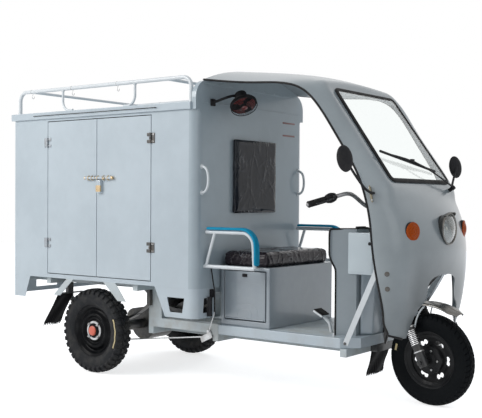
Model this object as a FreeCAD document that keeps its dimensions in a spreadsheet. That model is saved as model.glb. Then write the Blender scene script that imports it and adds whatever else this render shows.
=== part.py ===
import FreeCAD, Part
import math
import os
import Sketcher

from FreeCAD import Placement, Rotation, Vector

# An electric cargo tricycle: a box body on two rear wheels, and an open-sided cab whose roof, windscreen
# frame and nose are one moulding, over one steered front wheel.
#
# Millimetres and degrees. Sizes are written in the vehicle's own terms: x forward from the rear axle,
# y to the left from the middle, z up from the ground. Each sub-part's Placement then moves the rear axle
# back, so that the finished part stands on the ground with its origin under the middle of its length.

SIZES = [
    # name, value, meaning
    ("wheelbase", 2045, "rear axle to front axle"),
    ("tail_overhang", 705, "rear axle to the lip of the box roof, the rearmost edge"),
    ("rear_track", 906, "between the middles of the rear wheels"),
    ("rear_radius", 260, "rear tyre, to the tips of its lugs"),
    ("rear_width", 100, "rear tyre"),
    ("rim_radius", 166, "wheel rim over its flanges"),
    ("rim_gap", 12, "rim flange under the tyre's bead"),
    ("front_radius", 242, "front tyre, to the tips of its lugs"),
    ("front_width", 80, "front tyre"),
    ("front_rim_radius", 152, "front rim over its flanges"),
    ("rim_wall", 4, "pressed wheel steel"),
    ("hub_radius", 45, "rear hub"),
    ("hub_cap_radius", 30, "coloured cap on the rear hub"),
    ("drum_radius", 70, "front brake drum"),
    ("drum_width", 60, "front brake drum"),
    ("axle_radius", 9, "front wheel spindle"),
    ("fit", 0.5, "running fit between a spindle and its bore"),
    ("gap", 5, "clear space round a door"),
    ("box_rear", 682, "rear axle back to the rear face of the box"),
    ("box_front", 864, "rear axle forward to the front face of the box"),
    ("box_half", 536, "middle to the outer face of a side wall"),
    ("box_bottom", 573, "ground to the underside of the box"),
    ("box_top", 1577, "ground to the underside of the roof cap"),
    ("box_corner", 50, "rounding of the front corners, in plan"),
    ("wall", 25, "box wall, floor and door"),
    ("rail", 15, "door frame above a side door"),
    ("cap_height", 43, "roof cap, lip to top"),
    ("cap_lip", 14, "roof cap beyond the walls"),
    ("side_door_rear", 364, "rear axle back to the hinge edge of the rear side door"),
    ("side_door_meet", 81, "rear axle forward to where the side doors meet"),
    ("side_door_front", 530, "rear axle forward to the hinge edge of the front side door"),
    ("rear_post", 31, "frame beside and above the rear doors"),
    ("hinge_radius", 6, "hinge barrel"),
    ("hinge_length", 60, "hinge, all its barrels"),
    ("hinge_leaf", 3, "hinge plate"),
    ("hinge_low", 795, "ground to the middle of a door's lower hinge"),
    ("hinge_high", 1427, "ground to the middle of a door's upper hinge"),
    ("bolt_height", 1200, "ground to the sliding bolt of the side doors"),
    ("bolt_radius", 8, "sliding bolt"),
    ("arch_top", 1745, "ground to the top of the front wall"),
    ("arch_round", 100, "rounding of the front wall's upper corners"),
    ("arch_wall", 30, "front wall above the roof cap"),
    ("rack_inset", 36, "roof rail inside the outer face of a side wall"),
    ("rack_top", 1765, "ground to the middle of a roof rail"),
    ("rack_rear", 674, "rear axle back to the rear end of a roof rail"),
    ("rack_front", 800, "rear axle forward to the front end of a roof rail"),
    ("rack_tube", 12, "roof rail tube radius"),
    ("rack_bend", 60, "roof rail bends"),
    ("rack_stay_rear", 263, "rear axle back to the rear rail support"),
    ("rack_stay_front", 363, "rear axle forward to the front rail support"),
    ("rack_cross", 575, "rear axle back to the rail across the rack"),
    ("skirt_bottom", 438, "ground to the lower edge of the plates at the box corners"),
    ("tail_bottom", 455, "ground to the lower edge of the plate under the rear doors"),
    ("tail_corner", 102, "rear corner plate, fore and aft, along its lower edge"),
    ("tail_corner_top", 152, "rear corner plate, fore and aft, along the box"),
    ("tail_hole_step", 270, "between the openings of the rear plate"),
    ("tail_hole_half", 90, "opening of the rear plate, half across"),
    ("tail_hole_margin", 28, "opening of the rear plate above its lower edge"),
    ("tail_hole_drop", 22, "openings of the rear plate below the box"),
    ("tail_lamp_side", 62, "tail lamp's middle inside the outer face of the box"),
    ("tail_lamp_half", 50, "tail lamp, half across"),
    ("tail_lamp_height", 66, "tail lamp"),
    ("tail_lamp_drop", 30, "tail lamp below the box"),
    ("tail_lamp_depth", 18, "tail lamp"),
    ("bracket_back", 125, "rear axle back to the rear arch bracket, at the box"),
    ("bracket_back_foot", 245, "rear axle back to the rear arch bracket's foot"),
    ("bracket_back_width", 60, "rear arch bracket"),
    ("bracket_front", 139, "rear axle forward to the front arch bracket, at the box"),
    ("bracket_front_top", 101, "front arch bracket along the box"),
    ("bracket_front_foot", 262, "rear axle forward to the front arch bracket's foot"),
    ("bracket_front_width", 68, "front arch bracket along its foot"),
    ("bracket_rise", 28, "arch brackets' feet above the corner plates' lower edge"),
    ("corner_rear", 560, "rear axle forward to the front corner skirt, at the box"),
    ("corner_slope", 80, "front corner skirt's rear edge leans forward"),
    ("corner_bottom", 405, "ground to the lower edge of the front corner skirts"),
    ("corner_hole_rear", 655, "rear axle forward to the skirt's opening"),
    ("corner_hole_front", 785, "rear axle forward to the front end of the skirt's opening"),
    ("corner_hole_drop", 55, "skirt's opening below the box"),
    ("corner_hole_rise", 30, "skirt's opening above its lower edge"),
    ("corner_turn_in", 125, "corner skirt across the front of the box"),
    ("flap_width", 140, "rear mud flaps"),
    ("flap_front_width", 185, "front mud flap"),
    ("flap_rubber", 5, "mud flap rubber"),
    ("gutter_rear", 477, "rear axle back to the rear end of the gutter over the side doors"),
    ("gutter_front", 581, "rear axle forward to the gutter's front end"),
    ("gutter_reach", 7, "gutter beyond the roof lip"),
    ("gutter_rise", 16, "gutter above the roof cap's lower edge"),
    ("gutter_thick", 6, "gutter"),
    ("socket_side", 59, "charging socket outside the seat box"),
    ("socket_width", 22, "charging socket, across and deep"),
    ("socket_low", 520, "ground to the charging socket"),
    ("socket_high", 566, "ground to the top of the charging socket"),
    ("plug_low", 416, "ground to the lower end of the plug's holder"),
    ("plug_radius", 15, "plug's holder"),
    ("cable_x", 892, "rear axle forward to the brake cable, past the charging socket"),
    ("cable_side", 398, "middle to the brake cable, to the right"),
    ("plate", 4, "pressed plate"),
    ("plate_hole", 3.5, "number plate screw holes, radius"),
    ("plate_spacing", 110, "between the number plate screw holes"),
    ("chassis_rail", 40, "chassis tube, square"),
    ("column_rear", 340, "rear axle forward to the columns behind the cab"),
    ("column_width", 105, "columns behind the cab, fore and aft"),
    ("low_rail_half", 350, "middle to the outer face of a low rail"),
    ("low_rail_width", 60, "low rail across"),
    ("under_rail_half", 190, "middle to the outer face of a rail under the cab floor"),
    ("under_rail_bottom", 262, "ground to the rails under the cab floor"),
    ("floor_top", 360, "ground to the cab floor"),
    ("floor_depth", 55, "edge of the cab floor"),
    ("floor_half", 350, "middle to the edge of the cab floor"),
    ("floor_rear", 881, "rear axle forward to the rear edge of the cab floor"),
    ("floor_front", 1770, "rear axle forward to the front edge of the cab floor"),
    ("floor_corner", 80, "rounding of the cab floor's front corners"),
    ("axle_tube", 32, "rear axle tube radius"),
    ("rear_drum", 30, "rear brake drum, across; it ends clear of the spring beside it"),
    ("motor_radius", 105, "motor and final drive housing"),
    ("motor_length", 190, "motor and final drive housing, across"),
    ("motor_side", 55, "motor housing's middle, left of the middle"),
    ("spring_clear", 28, "between a leaf spring and the rear tyre beside it"),
    ("brake_rod_clear", 65, "between the brake rod's rear end and the rear tyre beside it"),
    ("spring_width", 45, "leaf spring, across"),
    ("spring_leaf", 9, "one leaf"),
    ("spring_reach", 360, "rear axle to either end of a leaf spring"),
    ("spring_rise", 130, "leaf spring ends above its middle"),
    ("flap_bottom", 275, "ground to the rear mud flaps"),
    ("flap_front_bottom", 132, "ground to the front mud flap"),
    ("seat_front", 1225, "rear axle forward to the front of the seat box"),
    ("seat_half", 327, "middle to a side of the seat box"),
    ("seat_top", 698, "ground to the top of the seat box"),
    ("sheet", 6, "seat box and leg shield wall"),
    ("cushion_height", 84, "seat cushion"),
    ("seat_door_rear", 912, "rear axle forward to the rear edge of the seat box door"),
    ("seat_door_front", 1195, "rear axle forward to the front edge of the seat box door"),
    ("seat_door_low", 400, "ground to the lower edge of the seat box door"),
    ("seat_door_high", 672, "ground to the upper edge of the seat box door"),
    ("battery_height", 250, "battery block"),
    ("battery_margin", 25, "battery block inside the seat box"),
    ("arm_inset", 81, "armrest inside the outer face of the box"),
    ("arm_tube", 11, "armrest tube radius"),
    ("arm_strut", 9, "armrest's slanted strut, tube radius"),
    ("arm_low", 700, "ground to the lower tube of an armrest"),
    ("arm_high", 893, "ground to the upper tube of an armrest"),
    ("arm_front", 1215, "rear axle forward to the front of an armrest"),
    ("arm_bend", 75, "armrest's front bend"),
    ("arm_pad", 16, "armrest pad thickness"),
    ("arm_pad_width", 44, "armrest pad across"),
    ("back_half", 215, "middle to a side of the backrest"),
    ("back_low", 987, "ground to the lower edge of the backrest"),
    ("back_high", 1436, "ground to the upper edge of the backrest"),
    ("back_thick", 28, "backrest"),
    ("grab_inset", 54, "grab handle inside the outer face of the box"),
    ("grab_low", 1110, "ground to the lower foot of a grab handle"),
    ("grab_high", 1262, "ground to the upper foot of a grab handle"),
    ("grab_reach", 60, "grab handle before the wall"),
    ("grab_tube", 7, "grab handle tube radius"),
    ("shield_back", 56, "leg shield behind the front edge of the cab floor"),
    ("shield_depth", 114, "leg shield, fore and aft"),
    ("shield_top", 923, "ground to the top of the leg shield"),
    ("shield_half", 225, "middle to where the leg shield turns back"),
    ("shield_edge", 285, "middle to the leg shield's rear edge, at its top"),
    ("shield_waist", 275, "middle to the leg shield's rear edge, below its waist"),
    ("shield_waist_high", 714, "ground to the upper end of the leg shield's straight lower edge"),
    ("shield_bulge", 780, "ground to where the leg shield's side edge reaches its full width"),
    ("store_low", 690, "ground to the underside of the storage box"),
    ("store_top", 904, "ground to the top of the storage box"),
    ("store_depth", 110, "storage box before the leg shield"),
    ("store_half", 270, "middle to a side of the storage box"),
    ("rake", 23, "steering axis, leaning back from upright"),
    ("steer_x", 2030, "rear axle forward to the steering axis, at the front axle's height"),
    ("steer_parked", -6.8, "steering as parked, turned to the right"),
    ("head_radius", 30, "steering head tube"),
    ("head_low", 370, "along the steering axis to the head tube's lower end"),
    ("head_high", 640, "along the steering axis to the head tube's upper end"),
    ("crown_low", 325, "along the steering axis to the underside of the fork crown"),
    ("crown_thick", 30, "fork crown"),
    ("stem_radius", 16, "steering stem"),
    ("stem_top", 862, "along the steering axis to the top of the steering stem"),
    ("leg_side", 88, "middle to a fork leg"),
    ("leg_radius", 20, "fork leg, upper tube"),
    ("slider_radius", 26, "fork leg, lower slider"),
    ("slider_length", 215, "fork leg, lower slider"),
    ("fender_radius", 303, "front axle to the top of the front mudguard"),
    ("fender_half", 52, "middle to a side of the front mudguard"),
    ("fender_wall", 3, "front mudguard"),
    ("fender_skirt", 40, "front mudguard's turned-down sides"),
    ("fender_rear", 101, "angle of the mudguard's rear end, from straight ahead"),
    ("fender_front", 57, "angle of the mudguard's front end, from straight ahead"),
    ("bar_tube", 11, "handlebar tube radius"),
    ("grip_radius", 17, "handlebar grip"),
    ("grip_length", 125, "handlebar grip"),
    ("shell_wall", 6, "cab moulding"),
    ("screen_half_top", 328, "middle to the windscreen's upper corner"),
    ("screen_half_low", 344, "middle to the windscreen's lower corner"),
    ("screen_top_x", 1618, "rear axle forward to the windscreen's upper edge"),
    ("screen_top_z", 1661, "ground to the windscreen's upper edge"),
    ("screen_low_x", 1977, "rear axle forward to the windscreen's lower edge"),
    ("screen_low_z", 1164, "ground to the windscreen's lower edge"),
    ("screen_corner", 45, "rounding of the windscreen's corners"),
    ("screen_glass", 5, "windscreen"),
    ("gasket_width", 24, "rubber round the windscreen"),
    ("gasket_thick", 12, "rubber round the windscreen"),
    ("arch_low_half", 285, "wheel cut-out in the nose, half its width at the bottom"),
    ("arch_mid_half", 170, "wheel cut-out in the nose, half its width where it rounds over"),
    ("arch_mid_z", 590, "ground to where the wheel cut-out rounds over"),
    ("arch_peak_z", 695, "ground to the top of the wheel cut-out"),
    ("nose_low", 396, "ground to the lower tips of the nose"),
    ("mirror_foot_x", 1934, "rear axle forward to the foot of a mirror's stalk"),
    ("mirror_foot_z", 1112, "ground to the foot of a mirror's stalk"),
    ("mirror_side", 636, "middle to a mirror"),
    ("mirror_x", 1885, "rear axle forward to a mirror"),
    ("mirror_z", 1276, "ground to a mirror"),
    ("mirror_half_width", 45, "mirror head, half across"),
    ("mirror_half_height", 66, "mirror head, half its height"),
    ("mirror_depth", 30, "mirror head, fore and aft"),
    ("lamp_z", 936, "ground to the headlamp"),
    ("lamp_x", 2110, "rear axle forward to the headlamp's seat"),
    ("lamp_radius", 85, "headlamp rim"),
    ("lamp_depth", 42, "headlamp before its seat"),
    ("signal_side", 303, "middle to a direction lamp"),
    ("signal_radius", 42, "direction lamp"),
    ("signal_z", 923, "ground to a direction lamp"),
    ("pedal_back", 264, "brake pedal behind the front edge of the cab floor"),
    ("pedal_side", 200, "middle to the brake pedal, to the right"),
    ("pedal_rise", 86, "brake pedal above the cab floor"),
    ("fan_radius", 78, "fan guard"),
    ("fan_x", 1000, "rear axle forward to the fan"),
    ("fan_side", 300, "middle to the fan, to the right"),
    ("fan_z", 1612, "ground to the fan"),
]

# The moulding's cross-sections, from the rear of the roof round to the tips of the nose. Each is square
# to the length of the moulding: a side edge, the crown in the middle, half its width, and the shoulder,
# which is where the crown's flat arc meets the rounder arc of the side.
SHELL = [
    # edge x, edge z, crown x, crown z, half width, shoulder y, shoulder drop
    (864, 1747, 864, 1835, 470, 262, 26),
    (1200, 1707, 1215, 1796, 470, 270, 28),
    (1435, 1684, 1475, 1748, 468, 305, 22),
    (1548, 1631, 1627, 1685, 460, 330, 16),
    (1725, 1400, 1792, 1448, 450, 335, 12),
    (1840, 1219, 1917, 1274, 450, 340, 12),
    (1889, 1094, 2005, 1130, 450, 335, 26),
    (1922, 950, 2096, 962, 450, 305, 50),
    (1928, 850, 2124, 850, 448, 300, 58),
    (1962, 646, 2112, 640, 430, 290, 45),
    (1988, 500, 2086, 494, 388, 265, 30),
    (2036, 396, 2062, 390, 340, 240, 10),
]

doc = FreeCAD.newDocument("cargo_tricycle")
sheet = doc.addObject("Spreadsheet::Sheet", "sizes")
SUBPARTS = []


class Size:
    """A size with its number and its spelling as an expression over the sheet."""

    def __init__(self, number, spelling):
        self.number = float(number)
        self.spelling = spelling

    def __float__(self):
        return self.number

    def __add__(self, other):
        other = given(other)
        return Size(self.number + other.number, f"({self.spelling} + {other.spelling})")

    def __radd__(self, other):
        return given(other) + self

    def __sub__(self, other):
        other = given(other)
        return Size(self.number - other.number, f"({self.spelling} - {other.spelling})")

    def __rsub__(self, other):
        return given(other) - self

    def __mul__(self, other):
        other = given(other)
        return Size(self.number * other.number, f"({self.spelling} * {other.spelling})")

    def __rmul__(self, other):
        return given(other) * self

    def __truediv__(self, other):
        other = given(other)
        return Size(self.number / other.number, f"({self.spelling} / {other.spelling})")

    def __neg__(self):
        return Size(-self.number, f"(-1 * {self.spelling})")


def given(value):
    """Any number as a Size."""
    return value if isinstance(value, Size) else Size(value, f"({value})")


class Sheet:
    """The driving dimensions by name."""


def fill_sheet():
    """Writes each size to a row of the sheet and hands them back by name."""
    sizes = Sheet()
    for row, (name, value, meaning) in enumerate(SIZES, start=1):
        sheet.set(f"A{row}", meaning)
        sheet.set(f"B{row}", str(value))
        sheet.setAlias(f"B{row}", name)
    doc.recompute()
    for name, value, meaning in SIZES:
        setattr(sizes, name, Size(float(sheet.get(name)), f"sizes.{name}"))
    return sizes


s = fill_sheet()

# Places that follow from other sizes. The springs stand clear of the tyres, and the chassis rails lie
# over the springs.
s.spring_half = (s.rear_track - s.rear_width) / 2 - s.spring_clear - s.spring_width
s.chassis_half = s.spring_half + s.chassis_rail
s.rack_half = s.box_half - s.rack_inset
s.arm_side = s.box_half - s.arm_inset
s.grab_side = s.box_half - s.grab_inset
s.shield_front = s.floor_front - s.shield_back
s.shield_rear = s.shield_front - s.shield_depth

# The origin lies under the middle of the length, from the roof lip to the front of the front tyre.
rear_axle_x = (s.tail_overhang - s.wheelbase - s.front_radius) / 2
SIDES = (("right", -1), ("left", 1))
AIM = {
    "x": Rotation(Vector(0, 1, 0), 90),
    "y": Rotation(Vector(1, 0, 0), -90),
    "z": Rotation(),
}


def bind(thing, prop, size):
    thing.setExpression(prop, given(size).spelling)


def block(name, x, y, z):
    """A box between two corners: each side is a (low, high) pair."""
    shape = doc.addObject("Part::Box", name)
    for length, spot, (low, high) in (("Length", "x", x), ("Width", "y", y), ("Height", "z", z)):
        bind(shape, length, given(high) - low)
        bind(shape, ".Placement.Base." + spot, low)
    return shape


def rod(name, aim, radius, start, length):
    """A cylinder that starts at a point and runs along +x, +y or +z."""
    shape = doc.addObject("Part::Cylinder", name)
    shape.Placement.Rotation = AIM[aim]
    bind(shape, "Radius", radius)
    bind(shape, "Height", length)
    for spot, value in zip("xyz", start):
        bind(shape, ".Placement.Base." + spot, value)
    return shape


def fuse(name, shapes):
    whole = doc.addObject("Part::MultiFuse", name)
    whole.Shapes = shapes
    whole.Refine = False
    return whole


def group(name, shapes):
    """Like pieces that don't touch, in one sub-part."""
    whole = doc.addObject("Part::Compound", name)
    whole.Links = shapes
    return whole


def cut(name, base, tools):
    whole = doc.addObject("Part::Cut", name)
    whole.Base = base
    whole.Tool = tools[0] if len(tools) == 1 else fuse(name + "_tools", tools)
    return whole


def solid(name, shape):
    """A piece whose shape is worked out here from the sheet's sizes."""
    piece = doc.addObject("Part::Feature", name)
    piece.Shape = Part.makeCompound([shape])
    return piece


def subpart(piece, label):
    """Names a finished piece and moves it from the rear axle to the part's own origin."""
    piece.Label = label
    bind(piece, ".Placement.Base.x", rear_axle_x)
    SUBPARTS.append(piece)
    return piece


def steered(piece, label):
    """As subpart, for what turns with the fork: it is drawn round the point where the steering axis
    passes the front axle's height, and stands as parked, turned a little about that axis."""
    piece.Label = label
    piece.Placement = Placement(Vector(0, 0, 0), Rotation(steering_axis, float(s.steer_parked)))
    bind(piece, ".Placement.Base.x", rear_axle_x + s.steer_x)
    bind(piece, ".Placement.Base.z", s.front_radius)
    bind(piece, ".Placement.Rotation.Angle", s.steer_parked)
    SUBPARTS.append(piece)
    return piece


def point(x, y, z):
    return Vector(float(x), float(y), float(z))


def profile_plate(name, plane, outline, low, high):
    """A flat piece: a sketched ring of (across, up) corners, padded from low to high along the
    plane's own axis. Across and up are y, z on YZ_Plane; x, z on XZ_Plane; and x, y on XY_Plane."""
    body = doc.addObject("PartDesign::Body", name)
    origin = [side for side in body.Origin.OriginFeatures if side.Role == plane][0]
    sketch = body.newObject("Sketcher::SketchObject", name + "_outline")
    sketch.AttachmentSupport = (origin, [""])
    sketch.MapMode = "FlatFace"
    # The XZ plane faces -y, so its pad starts from the higher side.
    start = -given(high) if plane == "XZ_Plane" else low
    bind(sketch, ".AttachmentOffset.Base.z", start)
    corners = [Vector(float(across), float(up), 0) for across, up in outline]
    count = len(corners)
    for index, corner in enumerate(corners):
        sketch.addGeometry(Part.LineSegment(corner, corners[(index + 1) % count]), False)
    for index, (across, up) in enumerate(outline):
        sketch.addConstraint(Sketcher.Constraint("Coincident", index, 2, (index + 1) % count, 1))
        for kind, value, axis in (("DistanceX", across, -2), ("DistanceY", up, -1)):
            if abs(float(value)) < 1e-9:
                sketch.addConstraint(Sketcher.Constraint("PointOnObject", index, 1, axis))
                continue
            place = sketch.addConstraint(Sketcher.Constraint(kind, -1, 1, index, 1, float(value)))
            bind(sketch, f"Constraints[{place}]", value)
    pad = body.newObject("PartDesign::Pad", name + "_pad")
    pad.Profile = sketch
    bind(pad, "Length", given(high) - low)
    body.Tip = pad
    return body


def bar_wire(points, bend):
    """Straight runs through the points, with a tangent arc of the bend radius at each inner one."""
    edges = []
    here = points[0]
    for before, corner, after in zip(points, points[1:], points[2:]):
        arrive = (corner - before).normalize()
        leave = (after - corner).normalize()
        half_turn = arrive.getAngle(leave) / 2
        setback = bend * math.tan(half_turn)
        inward = (leave - arrive).normalize()
        middle = corner + inward * (bend / math.cos(half_turn) - bend)
        first = corner - arrive * setback
        last = corner + leave * setback
        edges.append(Part.LineSegment(here, first).toShape())
        edges.append(Part.Arc(first, middle, last).toShape())
        here = last
    edges.append(Part.LineSegment(here, points[-1]).toShape())
    return Part.Wire(edges)


def bar(points, radius, bend):
    """A round tube or bar, bent along the points."""
    radius, bend = float(radius), float(bend)
    wire = bar_wire(points, bend)
    start = (points[1] - points[0]).normalize()
    ring = Part.Wire(Part.makeCircle(radius, points[0], start))
    return wire.makePipeShell([ring], True, True)


def strip(start, end, across, width, thick):
    """A straight flat bar from start to end; its width lies along across."""
    width, thick = float(width), float(thick)
    along = (end - start).normalize()
    side = across - along * across.dot(along)
    side.normalize()
    up = along.cross(side)
    ring = [start + side * (i * width / 2) + up * (j * thick / 2)
            for i, j in ((-1, -1), (1, -1), (1, 1), (-1, 1), (-1, -1))]
    return Part.Face(Part.makePolygon(ring)).extrude(end - start)


def mirrored(shape):
    """A shape with its twin on the other side of the vehicle's middle."""
    return [shape, shape.mirror(Vector(0, 0, 0), Vector(0, 1, 0))]


# Chassis. Two rails carry the box on cross members, columns step down behind the cab to low rails that
# meet the cab floor, and two more rails run forward under that floor.
rail_top = s.box_bottom
rail_low = rail_top - s.chassis_rail
chassis = []
for side, sign in SIDES:
    outer = sign * s.chassis_half
    inner = sign * (s.chassis_half - s.chassis_rail)
    span = (outer, inner) if sign < 0 else (inner, outer)
    rail_ends = (-s.box_rear + s.plate, s.box_front - s.chassis_rail)
    chassis.append(block(f"rail_{side}", rail_ends, span, (rail_low, rail_top)))
    outer = sign * s.low_rail_half
    inner = sign * (s.low_rail_half - s.low_rail_width)
    span = (outer, inner) if sign < 0 else (inner, outer)
    floor_low = s.floor_top - s.floor_depth
    column_ends = (s.column_rear, s.column_rear + s.column_width)
    chassis.append(block(f"column_{side}", column_ends, span, (floor_low, rail_top)))
    chassis.append(block(f"low_rail_{side}", (s.column_rear, s.floor_rear), span, (floor_low, s.floor_top)))
    outer = sign * s.under_rail_half
    inner = sign * (s.under_rail_half - s.chassis_rail)
    span = (outer, inner) if sign < 0 else (inner, outer)
    chassis.append(block(f"under_rail_{side}", (s.column_rear, s.floor_front - s.chassis_rail), span,
                         (s.under_rail_bottom, floor_low)))
cross_places = (-s.box_rear + s.plate, -s.spring_reach - s.chassis_rail, s.spring_reach,
                s.box_front - 2 * s.chassis_rail)
for place, x in enumerate(cross_places):
    chassis.append(block(f"cross_{place}", (x, x + s.chassis_rail), (-s.box_half + s.wall, s.box_half - s.wall),
                         (rail_low, rail_top)))
for place, x in enumerate((s.column_rear, s.floor_rear - s.chassis_rail, s.floor_front - 2 * s.chassis_rail)):
    chassis.append(block(f"low_cross_{place}", (x, x + s.chassis_rail), (-s.low_rail_half, s.low_rail_half),
                         (s.under_rail_bottom, floor_low)))
subpart(fuse("chassis", chassis), "chassis_frame")

# Steering head, its down tube, and the bent bar that holds up the nose over the wheel.
steering_axis = Vector(-math.sin(math.radians(float(s.rake))), 0, math.cos(math.radians(float(s.rake))))
axis_foot = point(s.steer_x, 0, s.front_radius)


def on_axis(reach):
    """The point of the steering axis at a distance from the front axle's height."""
    return axis_foot + steering_axis * float(reach)


head_length = float(s.head_high - s.head_low)
head = Part.makeCylinder(float(s.head_radius), head_length, on_axis(s.head_low), steering_axis)
bore = Part.makeCylinder(float(s.stem_radius + s.fit), head_length, on_axis(s.head_low), steering_axis)
floor_joint = point(s.floor_front - s.chassis_rail / 2, 0, s.under_rail_bottom + s.chassis_rail)
down_tube = bar([floor_joint, on_axis((s.head_low + s.head_high) / 2 - s.chassis_rail)], s.head_radius * 0.8, 0)
nose_rest = point(s.lamp_x - 22, 0, s.arch_peak_z + 14)
nose_bar = bar([on_axis(s.head_low + 60), point(s.steer_x - 40, 0, s.arch_peak_z - 90), nose_rest], 11, 25)
foot = Part.makeBox(
    float(s.chassis_rail), float(s.under_rail_half), float(s.floor_top - s.floor_depth - s.under_rail_bottom),
    point(s.floor_front - s.chassis_rail, -s.under_rail_half / 2, s.under_rail_bottom))
subpart(solid("front", head.fuse([down_tube, nose_bar, foot]).cut(bore).removeSplitter()), "front_frame")

# Cab floor: a pressed tray with its edge turned down all round.
tray = profile_plate("tray", "XY_Plane", [
    (s.floor_rear, -s.floor_half), (s.floor_front - s.floor_corner, -s.floor_half),
    (s.floor_front, -s.floor_half + s.floor_corner), (s.floor_front, s.floor_half - s.floor_corner),
    (s.floor_front - s.floor_corner, s.floor_half), (s.floor_rear, s.floor_half),
], s.floor_top - s.floor_depth, s.floor_top)
tray_hollow = profile_plate("tray_hollow", "XY_Plane", [
    (s.floor_rear + s.plate, -s.floor_half + s.plate),
    (s.floor_front - s.floor_corner - s.plate, -s.floor_half + s.plate),
    (s.floor_front - s.plate, -s.floor_half + s.floor_corner + s.plate),
    (s.floor_front - s.plate, s.floor_half - s.floor_corner - s.plate),
    (s.floor_front - s.floor_corner - s.plate, s.floor_half - s.plate),
    (s.floor_rear + s.plate, s.floor_half - s.plate),
], s.floor_top - s.floor_depth, s.floor_top - s.plate)
subpart(cut("floor_tray", tray, [tray_hollow]), "cab_floor")

# Slanted brackets that close the wheel arches against the box.
bracket_low = s.skirt_bottom + s.bracket_rise
brackets = []
for side, sign in SIDES:
    near = -s.box_half if sign < 0 else s.box_half - s.plate
    for name, outline in (
        ("rear", [(-s.bracket_back, s.box_bottom), (-s.bracket_back - s.bracket_back_width, s.box_bottom),
                  (-s.bracket_back_foot - s.bracket_back_width, bracket_low), (-s.bracket_back_foot, bracket_low)]),
        ("front", [(s.bracket_front, s.box_bottom), (s.bracket_front + s.bracket_front_top, s.box_bottom),
                   (s.bracket_front_foot + s.bracket_front_width, bracket_low),
                   (s.bracket_front_foot, bracket_low)]),
    ):
        brackets.append(profile_plate(f"bracket_{name}_{side}", "XZ_Plane", outline, near, near + s.plate))
subpart(group("brackets", brackets), "arch_brackets")

# Tail skirt: the plate under the rear doors with three openings, and a corner plate each side.
skirt_high = s.box_bottom
tail = [block("tail_plate", (-s.box_rear, -s.box_rear + s.plate), (-s.box_half, s.box_half),
              (s.tail_bottom, skirt_high))]
for side, sign in SIDES:
    near = -s.box_half if sign < 0 else s.box_half - s.plate
    tail.append(profile_plate(f"tail_corner_{side}", "XZ_Plane", [
        (-s.box_rear, s.skirt_bottom), (-s.box_rear + s.tail_corner, s.skirt_bottom),
        (-s.box_rear + s.tail_corner_top, skirt_high), (-s.box_rear, skirt_high)], near, near + s.plate))
tail_holes = []
tail_through = (-s.box_rear - 1, -s.box_rear + s.plate + 1)
for place, step in enumerate((-1, 0, 1)):
    y = step * s.tail_hole_step
    tail_holes.append(block(f"tail_hole_{place}", tail_through, (y - s.tail_hole_half, y + s.tail_hole_half),
                            (s.tail_bottom + s.tail_hole_margin, skirt_high - s.tail_hole_drop)))
for place, sign in enumerate((-1, 1)):
    spot = (tail_through[0], sign * s.plate_spacing / 2, skirt_high - s.tail_hole_drop / 2)
    tail_holes.append(rod(f"plate_hole_{place}", "x", s.plate_hole, spot, s.plate + 2))
subpart(cut("tail", fuse("tail_skin", tail), tail_holes), "tail_skirt")

# Tail lamps on the corner plates.
lamps = []
for side, sign in SIDES:
    y = sign * (s.box_half - s.tail_lamp_side)
    lamp_high = skirt_high - s.tail_lamp_drop
    lamps.append(block(f"tail_lamp_{side}", (-s.box_rear - s.tail_lamp_depth, -s.box_rear),
                       (y - s.tail_lamp_half, y + s.tail_lamp_half), (lamp_high - s.tail_lamp_height, lamp_high)))
subpart(group("tail_lights", lamps), "tail_lamps")

# Skirts under the box's front corners: a side plate and a front plate, each with a slanted opening.
corner_x = s.box_front - s.box_corner
corner_half = s.box_half - s.box_corner
corner_low = s.corner_bottom
hole_low = corner_low + s.corner_hole_rise
hole_high = skirt_high - s.corner_hole_drop
corner = []
for side, sign in SIDES:
    near = -s.box_half if sign < 0 else s.box_half - s.plate
    plate_side = profile_plate(f"corner_side_{side}", "XZ_Plane", [
        (s.corner_rear, skirt_high), (s.corner_rear + s.corner_slope, corner_low), (corner_x, corner_low),
        (corner_x, skirt_high)], near, near + s.plate)
    hole_side = profile_plate(f"corner_hole_{side}", "XZ_Plane", [
        (s.corner_hole_rear, hole_high), (s.corner_hole_rear + 25, hole_low),
        (s.corner_hole_front - 15, hole_low), (s.corner_hole_front, hole_high)],
        near - 1, near + s.plate + 1)
    y_out = sign * corner_half
    y_in = sign * (corner_half - s.corner_turn_in)
    span = (y_out, y_in) if sign < 0 else (y_in, y_out)
    plate_front = block(f"corner_front_{side}", (s.box_front - s.plate, s.box_front), span,
                        (corner_low, skirt_high))
    hole_front = profile_plate(f"corner_front_hole_{side}", "YZ_Plane", [
        (y_out - sign * 30, hole_high), (y_out - sign * 22, hole_low),
        (y_out - sign * 72, hole_low), (y_out - sign * 58, hole_high)],
        s.box_front - s.plate - 1, s.box_front + 1)
    middle = (corner_x, sign * corner_half, corner_low)
    post = rod(f"corner_post_{side}", "z", s.box_corner, middle, skirt_high - corner_low)
    core = rod(f"corner_core_{side}", "z", s.box_corner - s.plate, middle, skirt_high - corner_low)
    low_y = sign * corner_half
    high_y = sign * (s.box_half + 1)
    quarter = block(f"corner_quarter_{side}", (corner_x, s.box_front + 1),
                    (high_y, low_y) if sign < 0 else (low_y, high_y), (corner_low, skirt_high))
    ring = cut(f"corner_ring_{side}", post, [core])
    turn = doc.addObject("Part::Common", f"corner_turn_{side}")
    turn.Base = ring
    turn.Tool = quarter
    skin = fuse(f"corner_skin_{side}", [plate_side, turn, plate_front])
    corner.append(cut(f"corner_skirt_{side}", skin, [hole_side, hole_front]))
subpart(group("corners", corner), "corner_skirts")

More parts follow.
